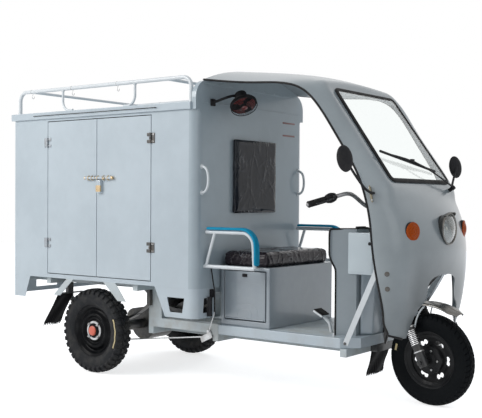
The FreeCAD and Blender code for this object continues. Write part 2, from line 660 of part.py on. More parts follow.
# Mud flaps: one behind each rear wheel under its bracket, and one behind the front wheel.
flaps = []
for side, sign in SIDES:
    middle = sign * (s.box_half + s.cap_lip - s.flap_width / 2)
    flap_top = point(-s.bracket_back_foot - 17, middle - sign * 8, bracket_low + 8)
    flap_foot = point(-s.bracket_back_foot - 127, middle, s.flap_bottom)
    flaps.append(solid(f"flap_{side}", strip(flap_top, flap_foot, Vector(0, 1, 0), s.flap_width, s.flap_rubber)))
    inner = s.chassis_half - s.chassis_rail
    outer = s.box_half - s.plate
    flaps.append(block(f"flap_hanger_{side}", (-s.bracket_back_foot - s.chassis_rail, -s.bracket_back_foot),
                       (-outer, -inner) if sign < 0 else (inner, outer), (bracket_low + 6, bracket_low + 12)))
flap_top = point(s.floor_front - 30, 0, s.under_rail_bottom)
flap_foot = point(s.floor_front - 62, 0, s.flap_front_bottom)
flaps.append(solid("flap_front", strip(flap_top, flap_foot, Vector(0, 1, 0), s.flap_front_width, s.flap_rubber)))
subpart(group("flaps", flaps), "mud_flaps")

# Leaf springs: two stacked leaves bent up to a hanger at each end.
springs = []
spring_mid = s.rear_radius + s.axle_tube
leaf_step = float(s.spring_leaf)
for side, sign in SIDES:
    y_low = float(sign * s.spring_half) if sign > 0 else float(sign * (s.spring_half + s.spring_width))
    leaves = []
    for share, drop in ((1.0, 0), (0.72, 1), (0.45, 2)):
        reach = float(s.spring_reach) * share
        base = float(spring_mid) + (2 - drop) * leaf_step
        rise = float(s.spring_rise) * share * share
        arc_low, arc_high = (
            Part.Arc(Vector(-reach, y_low, face + rise), Vector(0, y_low, face), Vector(reach, y_low, face + rise))
            for face in (base, base + leaf_step))
        ends = [Part.LineSegment(arc_low.EndPoint, arc_high.EndPoint),
                Part.LineSegment(arc_high.StartPoint, arc_low.StartPoint)]
        ring = Part.Wire(Part.__sortEdges__([edge.toShape() for edge in (arc_low, arc_high, *ends)]))
        leaves.append(Part.Face(ring).extrude(Vector(0, float(s.spring_width), 0)))
    tip = float(spring_mid) + 2 * leaf_step + float(s.spring_rise)
    for x in (-float(s.spring_reach), float(s.spring_reach)):
        leaves.append(Part.makeBox(24, float(s.spring_width), float(rail_low) - tip + 6,
                                   Vector(x - 12, y_low, tip - 6)))
    springs.append(solid(f"spring_{side}", leaves[0].fuse(leaves[1:]).removeSplitter()))
subpart(group("springs", springs), "leaf_springs")

# Rear axle: a tube from hub to hub, the motor and final drive on it, and a drum at each end.
hub_face = s.rear_track / 2 - s.rear_width / 2
axle = [
    rod("axle", "y", s.axle_tube, (0, -hub_face, s.rear_radius), 2 * hub_face),
    rod("motor", "y", s.motor_radius, (0, s.motor_side - s.motor_length / 2, s.rear_radius), s.motor_length),
    rod("motor_case", "y", s.motor_radius * 0.72,
        (-s.motor_radius * 0.9, s.motor_side - s.motor_length / 2 + 20, s.rear_radius + 15), s.motor_length - 40),
]
for side, sign in SIDES:
    start = -hub_face - 5 if sign < 0 else hub_face + 5 - s.rear_drum
    axle.append(rod(f"drum_{side}", "y", s.rim_radius * 0.62, (0, start, s.rear_radius), s.rear_drum))
    seat = sign * (s.spring_half + s.spring_width / 2)
    axle.append(block(f"spring_seat_{side}", (-s.spring_width, s.spring_width), (seat - 24, seat + 24),
                      (s.rear_radius - 20, spring_mid)))
subpart(fuse("axle_set", axle), "rear_axle")

# Brake linkage: the rod from the pivot on the right low rail back to the axle, with its bell crank.
pivot_side = -s.low_rail_half - 8
linkage = solid("linkage", Part.makeCompound([
    bar([point(s.floor_rear - 120, pivot_side + 20, 278), point(120, -hub_face + s.brake_rod_clear, 200)],
        4, 0).fuse(
        [strip(point(s.floor_rear - 125, pivot_side + 8, 262), point(s.floor_rear - 40, pivot_side - 2, 300),
               Vector(0, 0, 1), 34, 5),
         Part.makeCylinder(8, 24, point(s.floor_rear - 60, pivot_side - 12, 318), Vector(0, 1, 0)),
         strip(point(s.floor_rear - 60, pivot_side - 2, 290), point(s.floor_rear - 60, pivot_side - 2, 326),
               Vector(1, 0, 0), 24, 5)]),
    bar([point(s.floor_rear - 46, pivot_side - 14, s.floor_top - 30), point(s.cable_x, -s.cable_side, 430),
         point(s.cable_x, -s.cable_side, 560), point(s.cable_x + 1, -s.arm_side + 25, s.arm_low - 12)], 3, 40),
]))
subpart(linkage, "brake_linkage")

# Brake pedal: a ribbed pad on a curved arm that rises from the floor.
pedal_x = s.floor_front - s.pedal_back
pedal_z = s.floor_top + s.pedal_rise
pedal_arm = bar([point(pedal_x + 42, -s.pedal_side, s.floor_top - 6),
                 point(pedal_x + 30, -s.pedal_side, s.floor_top + 48),
                 point(pedal_x - 18, -s.pedal_side, pedal_z + 6)], 9, 30)
pedal_pad = strip(point(pedal_x - 54, -s.pedal_side, pedal_z + 28), point(pedal_x, -s.pedal_side, pedal_z),
                  Vector(0, 1, 0), 70, 12)
subpart(solid("pedal", pedal_arm.fuse(pedal_pad)), "brake_pedal")

# Charging socket and its cover, on the right corner skirt.
socket_y = -s.seat_half - s.socket_side
subpart(group("charge", [
    block("charge_block", (s.box_front, s.box_front + s.socket_width), (socket_y - s.socket_width, socket_y),
          (s.socket_low, s.socket_high)),
    rod("charge_tube", "z", s.plug_radius,
        (s.box_front + s.plug_radius, socket_y - s.socket_width - s.plug_radius - 1, s.plug_low),
        s.socket_low - s.plug_low + 4),
]), "charge_port")

# Seat box: four walls and a top on the cab floor, open below, with the doorway in its right side.
seat_outer = block("seat_outer", (s.floor_rear, s.seat_front), (-s.seat_half, s.seat_half),
                   (s.floor_top, s.seat_top))
seat_inner = block("seat_inner", (s.floor_rear + s.sheet, s.seat_front - s.sheet),
                   (-s.seat_half + s.sheet, s.seat_half - s.sheet), (s.floor_top, s.seat_top - s.sheet))
doorway = block("seat_doorway", (s.seat_door_rear - s.gap, s.seat_door_front + s.gap),
                (-s.seat_half - 1, -s.seat_half + s.sheet + 1),
                (s.seat_door_low - s.gap, s.seat_door_high + s.gap))
subpart(cut("seat", seat_outer, [seat_inner, doorway]), "seat_box")

# Seat box door, hinged along its lower edge, with its lock.
door_face = -s.seat_half
seat_door_parts = [
    block("seat_door_sheet", (s.seat_door_rear, s.seat_door_front), (door_face, door_face + s.sheet),
          (s.seat_door_low, s.seat_door_high)),
    rod("seat_lock", "y", given(9),
        ((s.seat_door_rear + s.seat_door_front) / 2, door_face - 8, s.seat_door_high - 22), given(10)),
    rod("seat_hinge", "x", given(4), (s.seat_door_rear + 12, door_face - 1, s.seat_door_low + 4),
        s.seat_door_front - s.seat_door_rear - 24),
]
subpart(fuse("seat_door", seat_door_parts), "seat_box_door")

# Battery pack: one block inside the seat box, on the cab floor.
subpart(group("battery", [block(
    "battery_block", (s.floor_rear + s.battery_margin, s.seat_front - s.battery_margin),
    (-s.seat_half + s.battery_margin, s.seat_half - s.battery_margin),
    (s.floor_top, s.floor_top + s.battery_height))]), "battery_pack")

# Seat cushion, a little clear of the box on which it lies.
soft_gap = s.fit
subpart(group("cushion", [block(
    "cushion_block", (s.floor_rear + 6, s.seat_front - 18), (-s.seat_half - 3, s.seat_half + 3),
    (s.seat_top + soft_gap, s.seat_top + soft_gap + s.cushion_height))]), "seat_cushion")

# Armrests: a bent tube from the box wall, over and down to the lower tube, a slanted strut behind, and
# brackets to the seat box.
arms = []
pads = []
arm_top = s.arm_high
strut_top = s.box_front + 76
for side, sign in SIDES:
    y = sign * s.arm_side
    hoop = bar([point(s.box_front + 14, y, arm_top), point(s.arm_front - 12, y, arm_top),
                point(s.arm_front, y, s.arm_low)], s.arm_tube, s.arm_bend)
    lower = bar([point(s.box_front, y, s.arm_low), point(s.arm_front, y, s.arm_low)], s.arm_tube, 0)
    strut = bar([point(s.box_front + 12, y, s.arm_low), point(strut_top, y, arm_top)], s.arm_strut, 0)
    tabs = []
    for x in (s.box_front + 45, s.arm_front - 60):
        tabs.append(strip(point(x, y, s.arm_low - 6), point(x, sign * s.seat_half, s.arm_low - 6),
                          Vector(1, 0, 0), 40, 6))
    arms.append(solid(f"arm_{side}", hoop.fuse([lower, strut, *tabs]).removeSplitter()))
    # The pad follows the upper tube and its bend, wider than the tube and lying on it.
    lift = float(s.arm_tube) + 0.3
    outer_lift = lift + float(s.arm_pad)
    start = float(s.box_front) + 22
    front = float(s.arm_front)
    top = float(arm_top)
    bend = float(s.arm_bend)
    y_low = float(y) - float(s.arm_pad_width) / 2
    centre = Vector(front - 12 - bend + 5, y_low, top - bend)
    ring = []
    for grow in (lift, outer_lift):
        radius = bend + grow
        slant = radius * math.sin(math.pi / 4)
        ring.append((Vector(start, y_low, top + grow), Vector(centre.x, y_low, top + grow),
                     Vector(centre.x + slant, y_low, centre.z + slant),
                     Vector(centre.x + radius, y_low, centre.z),
                     Vector(front + grow, y_low, float(s.arm_low) + 14)))
    under, over = ring
    edges = [Part.LineSegment(under[0], under[1]), Part.Arc(under[1], under[2], under[3]),
             Part.LineSegment(under[3], under[4]), Part.LineSegment(under[4], over[4]),
             Part.LineSegment(over[4], over[3]), Part.Arc(over[3], over[2], over[1]),
             Part.LineSegment(over[1], over[0]), Part.LineSegment(over[0], under[0])]
    face = Part.Face(Part.Wire([edge.toShape() for edge in edges]))
    pads.append(solid(f"pad_{side}", face.extrude(Vector(0, float(s.arm_pad_width), 0))))
subpart(group("arms", arms), "armrest_frames")
subpart(group("arm_pads", pads), "armrest_pads")

# Backrest pad on the front wall of the box.
subpart(group("back", [block(
    "back_block", (s.box_front + soft_gap, s.box_front + soft_gap + s.back_thick), (-s.back_half, s.back_half),
    (s.back_low, s.back_high))]), "backrest_pad")

# Grab handles on the front wall, one each side of the seat.
grabs = []
for side, sign in SIDES:
    y = sign * s.grab_side
    grabs.append(solid(f"grab_{side}", bar([
        point(s.box_front, y, s.grab_low), point(s.box_front + s.grab_reach, y, s.grab_low + 18),
        point(s.box_front + s.grab_reach, y, s.grab_high - 18), point(s.box_front, y, s.grab_high)],
        s.grab_tube, 34)))
subpart(group("grab", grabs), "grab_handles")

# Leg shield: a sheet across the cab in front of the rider's legs, turned back at each side. Its side
# edges step in at the waist and run straight down to the floor.
thick = float(s.sheet)
full_width = s.shield_edge + 10
outline = [(0, s.floor_top), (s.shield_waist, s.floor_top), (s.shield_waist, s.shield_waist_high),
           (full_width, s.shield_bulge), (full_width, s.shield_top), (0, s.shield_top)]
plan = [(s.shield_rear - 40, s.shield_edge + 45), (s.shield_rear, s.shield_edge), (s.shield_front, s.shield_half)]
run = [point(x, y, s.floor_top) for x, y in plan]
half_plan = [run[0], run[1], run[2], point(s.shield_front, 0, s.floor_top)]
back_plan = [spot - Vector(thick, 0, 0) for spot in reversed(half_plan)]
left_sheet = Part.Face(Part.makePolygon(half_plan + back_plan + [half_plan[0]])).extrude(
    Vector(0, 0, float(s.shield_top - s.floor_top)))
mask = Part.Face(Part.makePolygon([point(0, y, z) for y, z in outline] + [point(0, 0, s.floor_top)])).extrude(
    Vector(float(s.shield_front) + 100, 0, 0))
half_sheet = left_sheet.common(mask)
whole_sheet = half_sheet.fuse(half_sheet.mirror(Vector(0, 0, 0), Vector(0, 1, 0))).removeSplitter()
subpart(solid("shield", whole_sheet), "leg_shield")

# Storage box on the front of the leg shield, and the cover below it that hides the steering head.
store = block("store_outer", (s.shield_front, s.shield_front + s.store_depth), (-s.shield_half, s.shield_half),
              (s.store_low, s.store_top))
head_room = block("store_room", (s.shield_front + s.sheet, s.shield_front + s.store_depth + 1),
                  (-s.head_radius * 2, s.head_radius * 2), (s.store_low - 1, s.store_top + 1))
subpart(cut("store", store, [head_room]), "storage_box")

# Stays from the cab floor up to the inside of the nose.
stays = [solid(f"stay_{place}", shape) for place, shape in enumerate(mirrored(strip(
    point(s.floor_front - 48, -s.floor_half + 2, s.floor_top - 30),
    point(s.mirror_foot_x + 10, -412, s.arch_peak_z + 47), Vector(0.6, 0, 0), 30, 5)))]
subpart(group("stay_pair", stays), "shell_stays")


def shell_arcs(station, grow):
    """One side-to-side line of the moulding: two side arcs and the crown's arc between them, in the
    station's own plane, moved out of the moulding by grow."""
    edge_x, edge_z, crown_x, crown_z, half, shoulder, drop = station
    depth = math.hypot(crown_x - edge_x, crown_z - edge_z)
    out = Vector(crown_x - edge_x, 0, crown_z - edge_z).normalize()
    origin = Vector(edge_x, 0, edge_z)
    crown_radius = (shoulder ** 2 + drop ** 2) / (2 * drop)
    lean = math.asin(shoulder / crown_radius)
    # The side arc leaves the shoulder in the crown arc's direction and ends on the edge: its centre
    # lies on the crown arc's radius, as far from the shoulder as from the edge.
    from_shoulder = (half - shoulder, drop - depth)
    inward = (-math.sin(lean), -math.cos(lean))
    reach = from_shoulder[0] ** 2 + from_shoulder[1] ** 2
    along = from_shoulder[0] * inward[0] + from_shoulder[1] * inward[1]
    side_radius = reach / (2 * along)
    hub = (shoulder + inward[0] * side_radius, depth - drop + inward[1] * side_radius)
    end_angle = math.atan2(0 - hub[1], half - hub[0])
    start_angle = math.pi / 2 - lean

    def lift(y, height):
        return origin + out * height + Vector(0, y, 0)

    def side_spot(angle):
        return hub[0] + (side_radius + grow) * math.cos(angle), hub[1] + (side_radius + grow) * math.sin(angle)

    middle_angle = (start_angle + end_angle) / 2
    end, middle, join = (side_spot(angle) for angle in (end_angle, middle_angle, start_angle))
    crown = (0, depth + grow)
    spots = [(-end[0], end[1]), (-middle[0], middle[1]), (-join[0], join[1]), crown, join, middle, end]
    spots = [lift(*spot) for spot in spots]
    return [Part.Arc(*spots[0:3]).toShape(), Part.Arc(*spots[2:5]).toShape(), Part.Arc(*spots[4:7]).toShape()]


def shell_ring(station, wall):
    """A closed section of the moulding: its outer line, its inner line, and the two edges."""
    outer = shell_arcs(station, 0)
    inner = shell_arcs(station, -wall)
    first = Part.LineSegment(outer[-1].Vertexes[-1].Point, inner[-1].Vertexes[-1].Point).toShape()
    last = Part.LineSegment(inner[0].Vertexes[0].Point, outer[0].Vertexes[0].Point).toShape()
    return Part.Wire([*outer, first, *reversed(inner), last])


# The moulding, with the windscreen opening and the cut-out over the front wheel.
shell = Part.makeLoft([shell_ring(station, float(s.shell_wall)) for station in SHELL], True, True)
screen_top = point(s.screen_top_x, 0, s.screen_top_z)
screen_low = point(s.screen_low_x, 0, s.screen_low_z)
screen_up = (screen_top - screen_low).normalize()
screen_out = Vector(-screen_up.z, 0, screen_up.x) * -1


def screen_face(inset, height):
    """The windscreen's outline on its own plane, drawn in by inset and moved out by height."""
    low_half = float(s.screen_half_low) - inset
    top_half = float(s.screen_half_top) - inset
    low = screen_low + screen_up * inset + screen_out * height
    top = screen_top - screen_up * inset + screen_out * height
    ring = [low + Vector(0, -low_half, 0), low + Vector(0, low_half, 0), top + Vector(0, top_half, 0),
            top + Vector(0, -top_half, 0), low + Vector(0, -low_half, 0)]
    face = Part.Face(Part.makePolygon(ring))
    return face


def screen_block(inset, height, thick, corner):
    """A plate of the windscreen's outline with rounded corners."""
    plate = screen_face(inset, height).extrude(screen_out * thick)
    runs = [(edge, (edge.Vertexes[0].Point - edge.Vertexes[-1].Point).normalize()) for edge in plate.Edges]
    upright = [edge for edge, run in runs if abs(abs(run.dot(screen_out)) - 1) < 1e-6]
    return plate.makeFillet(corner, upright)


corner_radius = float(s.screen_corner)
gasket_width = float(s.gasket_width)
opening = screen_block(gasket_width / 2, -120, 240, corner_radius - gasket_width / 2)
arch_ring = [point(0, -s.arch_low_half, s.nose_low - 30), point(0, -s.arch_mid_half, s.arch_mid_z)]
arch_ring += [point(0, s.arch_mid_half, s.arch_mid_z), point(0, s.arch_low_half, s.nose_low - 30)]
arch_wire = Part.Wire([
    Part.LineSegment(arch_ring[0], arch_ring[1]).toShape(),
    Part.Arc(arch_ring[1], point(0, 0, s.arch_peak_z), arch_ring[2]).toShape(),
    Part.LineSegment(arch_ring[2], arch_ring[3]).toShape(),
    Part.LineSegment(arch_ring[3], arch_ring[0]).toShape(),
])
wheel_cut = Part.Face(arch_wire).extrude(Vector(float(s.wheelbase) + 400, 0, 0))
subpart(solid("shell", shell.cut([opening, wheel_cut])), "cab_shell")

# Windscreen glass, and the rubber frame that holds it in the opening.
glass_in = gasket_width / 2 + float(s.fit)
glass_low = 6
glass = screen_block(glass_in, glass_low, float(s.screen_glass), corner_radius - glass_in)
subpart(solid("screen", glass), "windscreen")
gasket_outer = screen_block(0, 3, float(s.gasket_thick) + 6, corner_radius)
gasket_core = screen_block(gasket_width / 2, -20, 60, corner_radius - gasket_width / 2)
subpart(solid("gasket", gasket_outer.cut(gasket_core)), "windscreen_gasket")

# Wiper: a spindle at the windscreen's lower left corner, its arm, and the blade.
spindle = point(s.screen_low_x + 34, 296, s.screen_low_z - 22)
arm_end = point(s.screen_low_x - 62, -35, s.screen_low_z + 106) + screen_out * 30
wiper = Part.makeCylinder(11, 34, spindle - screen_out * 14, screen_out).fuse([
    strip(spindle + screen_out * 16, arm_end, screen_up, 10, 5),
    strip(point(s.screen_low_x - 90, -322, s.screen_low_z + 150) + screen_out * 22,
          point(s.screen_low_x - 40, 205, s.screen_low_z + 62) + screen_out * 22, screen_up, 12, 10),
    strip(arm_end, arm_end - screen_out * 12, screen_up, 24, 16)])
subpart(solid("wiper_set", wiper), "wiper")

# Mirrors: an oval head on a bent stalk from a slotted plate on the moulding's side.
mirror_pair = []
shell_side = SHELL[6][4]
for side, sign in SIDES:
    head_shape = Part.makeSphere(1)
    stretch = FreeCAD.Matrix()
    stretch.scale(float(s.mirror_depth) / 2, float(s.mirror_half_width), float(s.mirror_half_height))
    head_shape = head_shape.transformGeometry(stretch)
    head_shape.translate(point(s.mirror_x, sign * s.mirror_side, s.mirror_z))
    stalk = bar([point(s.mirror_foot_x, sign * (shell_side - 6), s.mirror_foot_z),
                 point(s.mirror_foot_x - 18, sign * (shell_side + 50), s.mirror_foot_z + 18),
                 point(s.mirror_x + 8, sign * (s.mirror_side - 20), s.mirror_z - 30)], 7, 20)
    slot = strip(point(s.mirror_foot_x - 4, sign * (shell_side - 3), s.mirror_foot_z - 48),
                 point(s.mirror_foot_x - 22, sign * (shell_side - 3), s.mirror_foot_z + 38),
                 Vector(1, 0, 0), 22, 8)
    mirror_pair.append(solid(f"mirror_{side}", head_shape.fuse([stalk, slot])))
subpart(group("mirror_heads", mirror_pair), "mirrors")

# Headlamp: a rim and lens on a housing that sits in the nose.
lamp_seat = s.lamp_x - 25
lamp = [rod("lamp_body", "x", s.lamp_radius * 0.86, (lamp_seat - 50, 0, s.lamp_z), given(60)),
        rod("lamp_rim", "x", s.lamp_radius, (lamp_seat, 0, s.lamp_z), s.lamp_depth)]
subpart(fuse("lamp", lamp), "headlamp")

# Direction lamps.
signals = []
for side, sign in SIDES:
    spot = (s.lamp_x - 62, sign * s.signal_side, s.signal_z)
    signals.append(rod(f"signal_{side}", "x", s.signal_radius, spot, given(44)))
subpart(group("signals", signals), "direction_lamps")

# Fan: clamped to the roof edge's underside, with its guard facing the rider.
fan_middle = point(s.fan_x, -s.fan_side, s.fan_z)
fan_face = Vector(0.86, 0.1, -0.5).normalize()
fan = Part.makeCylinder(float(s.fan_radius), 34, fan_middle, fan_face).fuse([
    Part.makeCylinder(34, 52, fan_middle - fan_face * 50, fan_face),
    bar([fan_middle - fan_face * 30, fan_middle - fan_face * 40 + Vector(0, -60, 20),
         point(s.box_front, -s.fan_side - 92, s.fan_z + 12)], 9, 14)])
subpart(solid("fan_set", fan), "fan")

# Box. The floor lies between the walls, and each wall is as thick as its doors.
inner_half = s.box_half - s.wall
floor_top_z = s.box_bottom + s.wall
front_inner = s.box_front - s.wall
floor_plates = [
    block("floor_main", (-s.box_rear + s.wall, corner_x), (-inner_half, inner_half),
          (s.box_bottom, floor_top_z)),
    block("floor_end", (corner_x, front_inner), (-corner_half, corner_half), (s.box_bottom, floor_top_z)),
]
for side, sign in SIDES:
    floor_plates.append(rod(f"floor_corner_{side}", "z", s.box_corner - s.wall,
                            (corner_x, sign * corner_half, s.box_bottom), s.wall))
subpart(fuse("floor_plate", floor_plates), "box_floor")
subpart(group("left_wall", [block("left_wall_plate", (-s.box_rear + s.wall, corner_x), (inner_half, s.box_half),
                                  (s.box_bottom, s.box_top))]), "box_left_wall")


def barrels(name, aim, x, y, middle, own):
    """A hinge's barrels on one side of it: the middle one for the frame, or the end ones for the door."""
    third = s.hinge_length / 3
    places = (-1.5, 0.5) if own == "door" else (-0.5,)
    return [rod(f"{name}_{own}_{place}", aim, s.hinge_radius, (x, y, middle + third * step + 1), third - 2)
            for place, step in enumerate(places)]


side_hinge_y = -s.box_half - s.hinge_radius - 1
right_wall = block("right_wall_plate", (-s.box_rear + s.wall, corner_x), (-s.box_half, -inner_half),
                   (s.box_bottom, s.box_top))
side_opening = block("side_opening", (-s.side_door_rear, s.side_door_front), (-s.box_half - 1, -inner_half + 1),
                     (floor_top_z, s.box_top - s.rail))
wall_hinges = []
for end, x, sign in (("rear", -s.side_door_rear + s.gap / 2, -1), ("front", s.side_door_front - s.gap / 2, 1)):
    for height, z in (("low", s.hinge_low), ("high", s.hinge_high)):
        wall_hinges += barrels(f"side_hinge_{end}_{height}", "z", x, side_hinge_y, z, "frame")
        span = (x + sign * 28, x) if sign < 0 else (x, x + sign * 28)
        wall_hinges.append(block(f"side_leaf_{end}_{height}", span, (-s.box_half - s.hinge_leaf, -s.box_half),
                                 (z - s.hinge_length / 6 + 1, z + s.hinge_length / 6 - 1)))
        wall_hinges.append(block(f"side_leaf_top_{end}_{height}", (x - 2, x + 2),
                                 (side_hinge_y, -s.box_half - s.hinge_leaf),
                                 (z - s.hinge_length / 6 + 1, z + s.hinge_length / 6 - 1)))
opened_wall = cut("right_wall_cut", right_wall, [side_opening])
subpart(fuse("right_wall", [opened_wall, *wall_hinges]), "box_right_wall")

# Front wall of the box: rounded corners in plan, and an arch above the roof cap.
front_wall = [
    block("front_flat", (corner_x, s.box_front), (-corner_half, corner_half), (s.box_bottom, s.box_top)),
]
for side, sign in SIDES:
    middle = (corner_x, sign * corner_half, s.box_bottom)
    front_wall.append(rod(f"front_corner_{side}", "z", s.box_corner, middle, s.box_top - s.box_bottom))
front_hollow = [
    block("front_room", (corner_x - s.box_corner - 1, front_inner), (-corner_half, corner_half),
          (s.box_bottom - 1, s.box_top + 1)),
    block("front_behind", (corner_x - s.box_corner - 1, corner_x), (-s.box_half - 1, s.box_half + 1),
          (s.box_bottom - 1, s.box_top + 1)),
]
for side, sign in SIDES:
    middle = (corner_x, sign * corner_half, s.box_bottom - 1)
    front_hollow.append(rod(f"front_corner_room_{side}", "z", s.box_corner - s.wall, middle,
                            s.box_top - s.box_bottom + 2))
skin = cut("front_skin", fuse("front_block", front_wall), front_hollow)
arch_x = (s.box_front - s.arch_wall, s.box_front)
arch = [
    block("arch_low", arch_x, (-s.box_half, s.box_half), (s.box_top, s.arch_top - s.arch_round)),
    block("arch_high", arch_x, (-s.box_half + s.arch_round, s.box_half - s.arch_round),
          (s.box_top, s.arch_top)),
]
for side, sign in SIDES:
    arch.append(rod(f"arch_round_{side}", "x", s.arch_round,
                    (arch_x[0], sign * (s.box_half - s.arch_round), s.arch_top - s.arch_round), s.arch_wall))
subpart(fuse("front_wall", [skin, *arch]), "box_front_wall")

# Rear frame, round the rear doors.
door_half = s.box_half - s.rear_post
frame_block = block("rear_block", (-s.box_rear, -s.box_rear + s.wall), (-s.box_half, s.box_half),
                    (s.box_bottom, s.box_top))
frame_hole = block("rear_opening", (-s.box_rear - 1, -s.box_rear + s.wall + 1), (-door_half, door_half),
                   (floor_top_z, s.box_top - s.rear_post + 4))
rear_hinge_x = -s.box_rear - s.hinge_radius - 1
rear_hinges = []
for side, sign in SIDES:
    y = sign * (door_half - s.gap / 2)
    for height, z in (("low", s.hinge_low), ("high", s.hinge_high)):
        rear_hinges += barrels(f"rear_hinge_{side}_{height}", "z", rear_hinge_x, y, z, "frame")
        leaf_z = (z - s.hinge_length / 6 + 1, z + s.hinge_length / 6 - 1)
        span = (y - 28, y) if sign < 0 else (y, y + 28)
        rear_hinges.append(block(f"rear_leaf_{side}_{height}", (-s.box_rear - s.hinge_leaf, -s.box_rear),
                                 span, leaf_z))
        rear_hinges.append(block(f"rear_leaf_top_{side}_{height}", (rear_hinge_x, -s.box_rear - s.hinge_leaf),
                                 (y - 2, y + 2), leaf_z))
subpart(fuse("rear_frame", [cut("rear_frame_cut", frame_block, [frame_hole]), *rear_hinges]), "box_rear_frame")

# Roof cap: a shallow lid with its lip outside the walls, open below over the load space.
lip_half = s.box_half + s.cap_lip
cap_outer = block("cap_outer", (-s.tail_overhang, s.box_front - s.arch_wall), (-lip_half, lip_half),
                  (s.box_top, s.box_top + s.cap_height))
cap_room = block("cap_room", (-s.box_rear + s.wall, s.box_front - s.arch_wall - s.wall),
                 (-inner_half, inner_half), (s.box_top - 1, s.box_top + s.cap_height - s.wall))
gutter_low = s.box_top + s.gutter_rise
gutter = block("gutter", (-s.gutter_rear, s.gutter_front), (-lip_half - s.gutter_reach, -lip_half),
               (gutter_low, gutter_low + s.gutter_thick))
subpart(fuse("roof", [cut("cap", cap_outer, [cap_room]), gutter]), "box_roof")

# Side doors. Each hangs on two hinges at its outer edge; the bolt is on the front one, drawn back, and
# its keeper on the rear one.
door_z = (floor_top_z + s.gap, s.box_top - s.rail - s.gap)
door_y = (-s.box_half, -inner_half)
meet_gap = s.gap / 2
side_doors = (
    ("rear", (-s.side_door_rear + s.gap, s.side_door_meet - meet_gap), -s.side_door_rear + s.gap / 2, 1),
    ("front", (s.side_door_meet + meet_gap, s.side_door_front - s.gap), s.side_door_front - s.gap / 2, -1),
)
for end, span, hinge_x, inward in side_doors:
    door = [block(f"side_door_{end}_panel", span, door_y, door_z)]
    for height, z in (("low", s.hinge_low), ("high", s.hinge_high)):
        door += barrels(f"side_door_{end}_{height}", "z", hinge_x, side_hinge_y, z, "door")
        for place, step in enumerate((-1, 1)):
            middle = z + step * s.hinge_length / 3
            leaf_z = (middle - s.hinge_length / 6 + 1, middle + s.hinge_length / 6 - 1)
            leaf = (hinge_x, hinge_x + 28) if inward > 0 else (hinge_x - 28, hinge_x)
            door.append(block(f"side_door_{end}_{height}_leaf_{place}", leaf,
                              (-s.box_half - s.hinge_leaf, -s.box_half), leaf_z))
            door.append(block(f"side_door_{end}_{height}_web_{place}", (hinge_x - 2, hinge_x + 2),
                              (side_hinge_y, -s.box_half - s.hinge_leaf), leaf_z))
    bolt_y = -s.box_half - s.bolt_radius - 4
    if end == "front":
        door.append(rod("bolt", "x", s.bolt_radius, (s.side_door_meet + meet_gap + 2, bolt_y, s.bolt_height),
                        given(140)))
        door.append(block("bolt_plate", (s.side_door_meet + meet_gap + 6, s.side_door_meet + 120),
                          (-s.box_half - 5, -s.box_half), (s.bolt_height - 17, s.bolt_height + 17)))
        door.append(block("padlock", (s.side_door_meet + 14, s.side_door_meet + 50), (-s.box_half - 20, -s.box_half),
                          (s.bolt_height - 88, s.bolt_height - 12)))
    else:
        door.append(rod("keeper", "x", s.bolt_radius, (s.side_door_meet - meet_gap - 82, bolt_y, s.bolt_height),
                        given(80)))
        door.append(block("keeper_plate", (s.side_door_meet - meet_gap - 70, s.side_door_meet - meet_gap - 12),
                          (-s.box_half - 5, -s.box_half), (s.bolt_height - 17, s.bolt_height + 17)))
    subpart(fuse(f"side_door_{end}_set", door), f"side_door_{end}")

# Rear doors, hinged at the corners of the box. The right one carries the lock bar.
rear_z = (floor_top_z + s.gap, s.box_top - s.rear_post + 4 - s.gap)
for side, sign in SIDES:
    edge = door_half - s.gap
    span = (sign * edge, sign * meet_gap) if sign < 0 else (sign * meet_gap, sign * edge)
    door = [block(f"rear_door_{side}_panel", (-s.box_rear, -s.box_rear + s.wall), span, rear_z)]
    y = sign * (door_half - s.gap / 2)
    for height, z in (("low", s.hinge_low), ("high", s.hinge_high)):
        door += barrels(f"rear_door_{side}_{height}", "z", rear_hinge_x, y, z, "door")
        for place, step in enumerate((-1, 1)):
            middle = z + step * s.hinge_length / 3
            leaf_z = (middle - s.hinge_length / 6 + 1, middle + s.hinge_length / 6 - 1)
            leaf = (y, y + 28) if sign < 0 else (y - 28, y)
            door.append(block(f"rear_door_{side}_{height}_leaf_{place}", (-s.box_rear - s.hinge_leaf, -s.box_rear),
                              leaf, leaf_z))
            door.append(block(f"rear_door_{side}_{height}_web_{place}", (rear_hinge_x, -s.box_rear - s.hinge_leaf),
                              (y - 2, y + 2), leaf_z))
    if sign < 0:
        door.append(rod("lock_bar", "z", given(7), (-s.box_rear - 11, -60, floor_top_z + 40),
                        s.box_top - floor_top_z - 120))
        for place, z in enumerate((floor_top_z + 70, s.bolt_height - 40, s.box_top - 130)):
            door.append(block(f"lock_clip_{place}", (-s.box_rear - 18, -s.box_rear), (-76, -44), (z, z + 30)))
        door.append(block("lock_handle", (-s.box_rear - 22, -s.box_rear - 12), (-190, -55),
                          (s.bolt_height - 34, s.bolt_height - 16)))
    subpart(fuse(f"rear_door_{side}_set", door), f"rear_door_{side}")

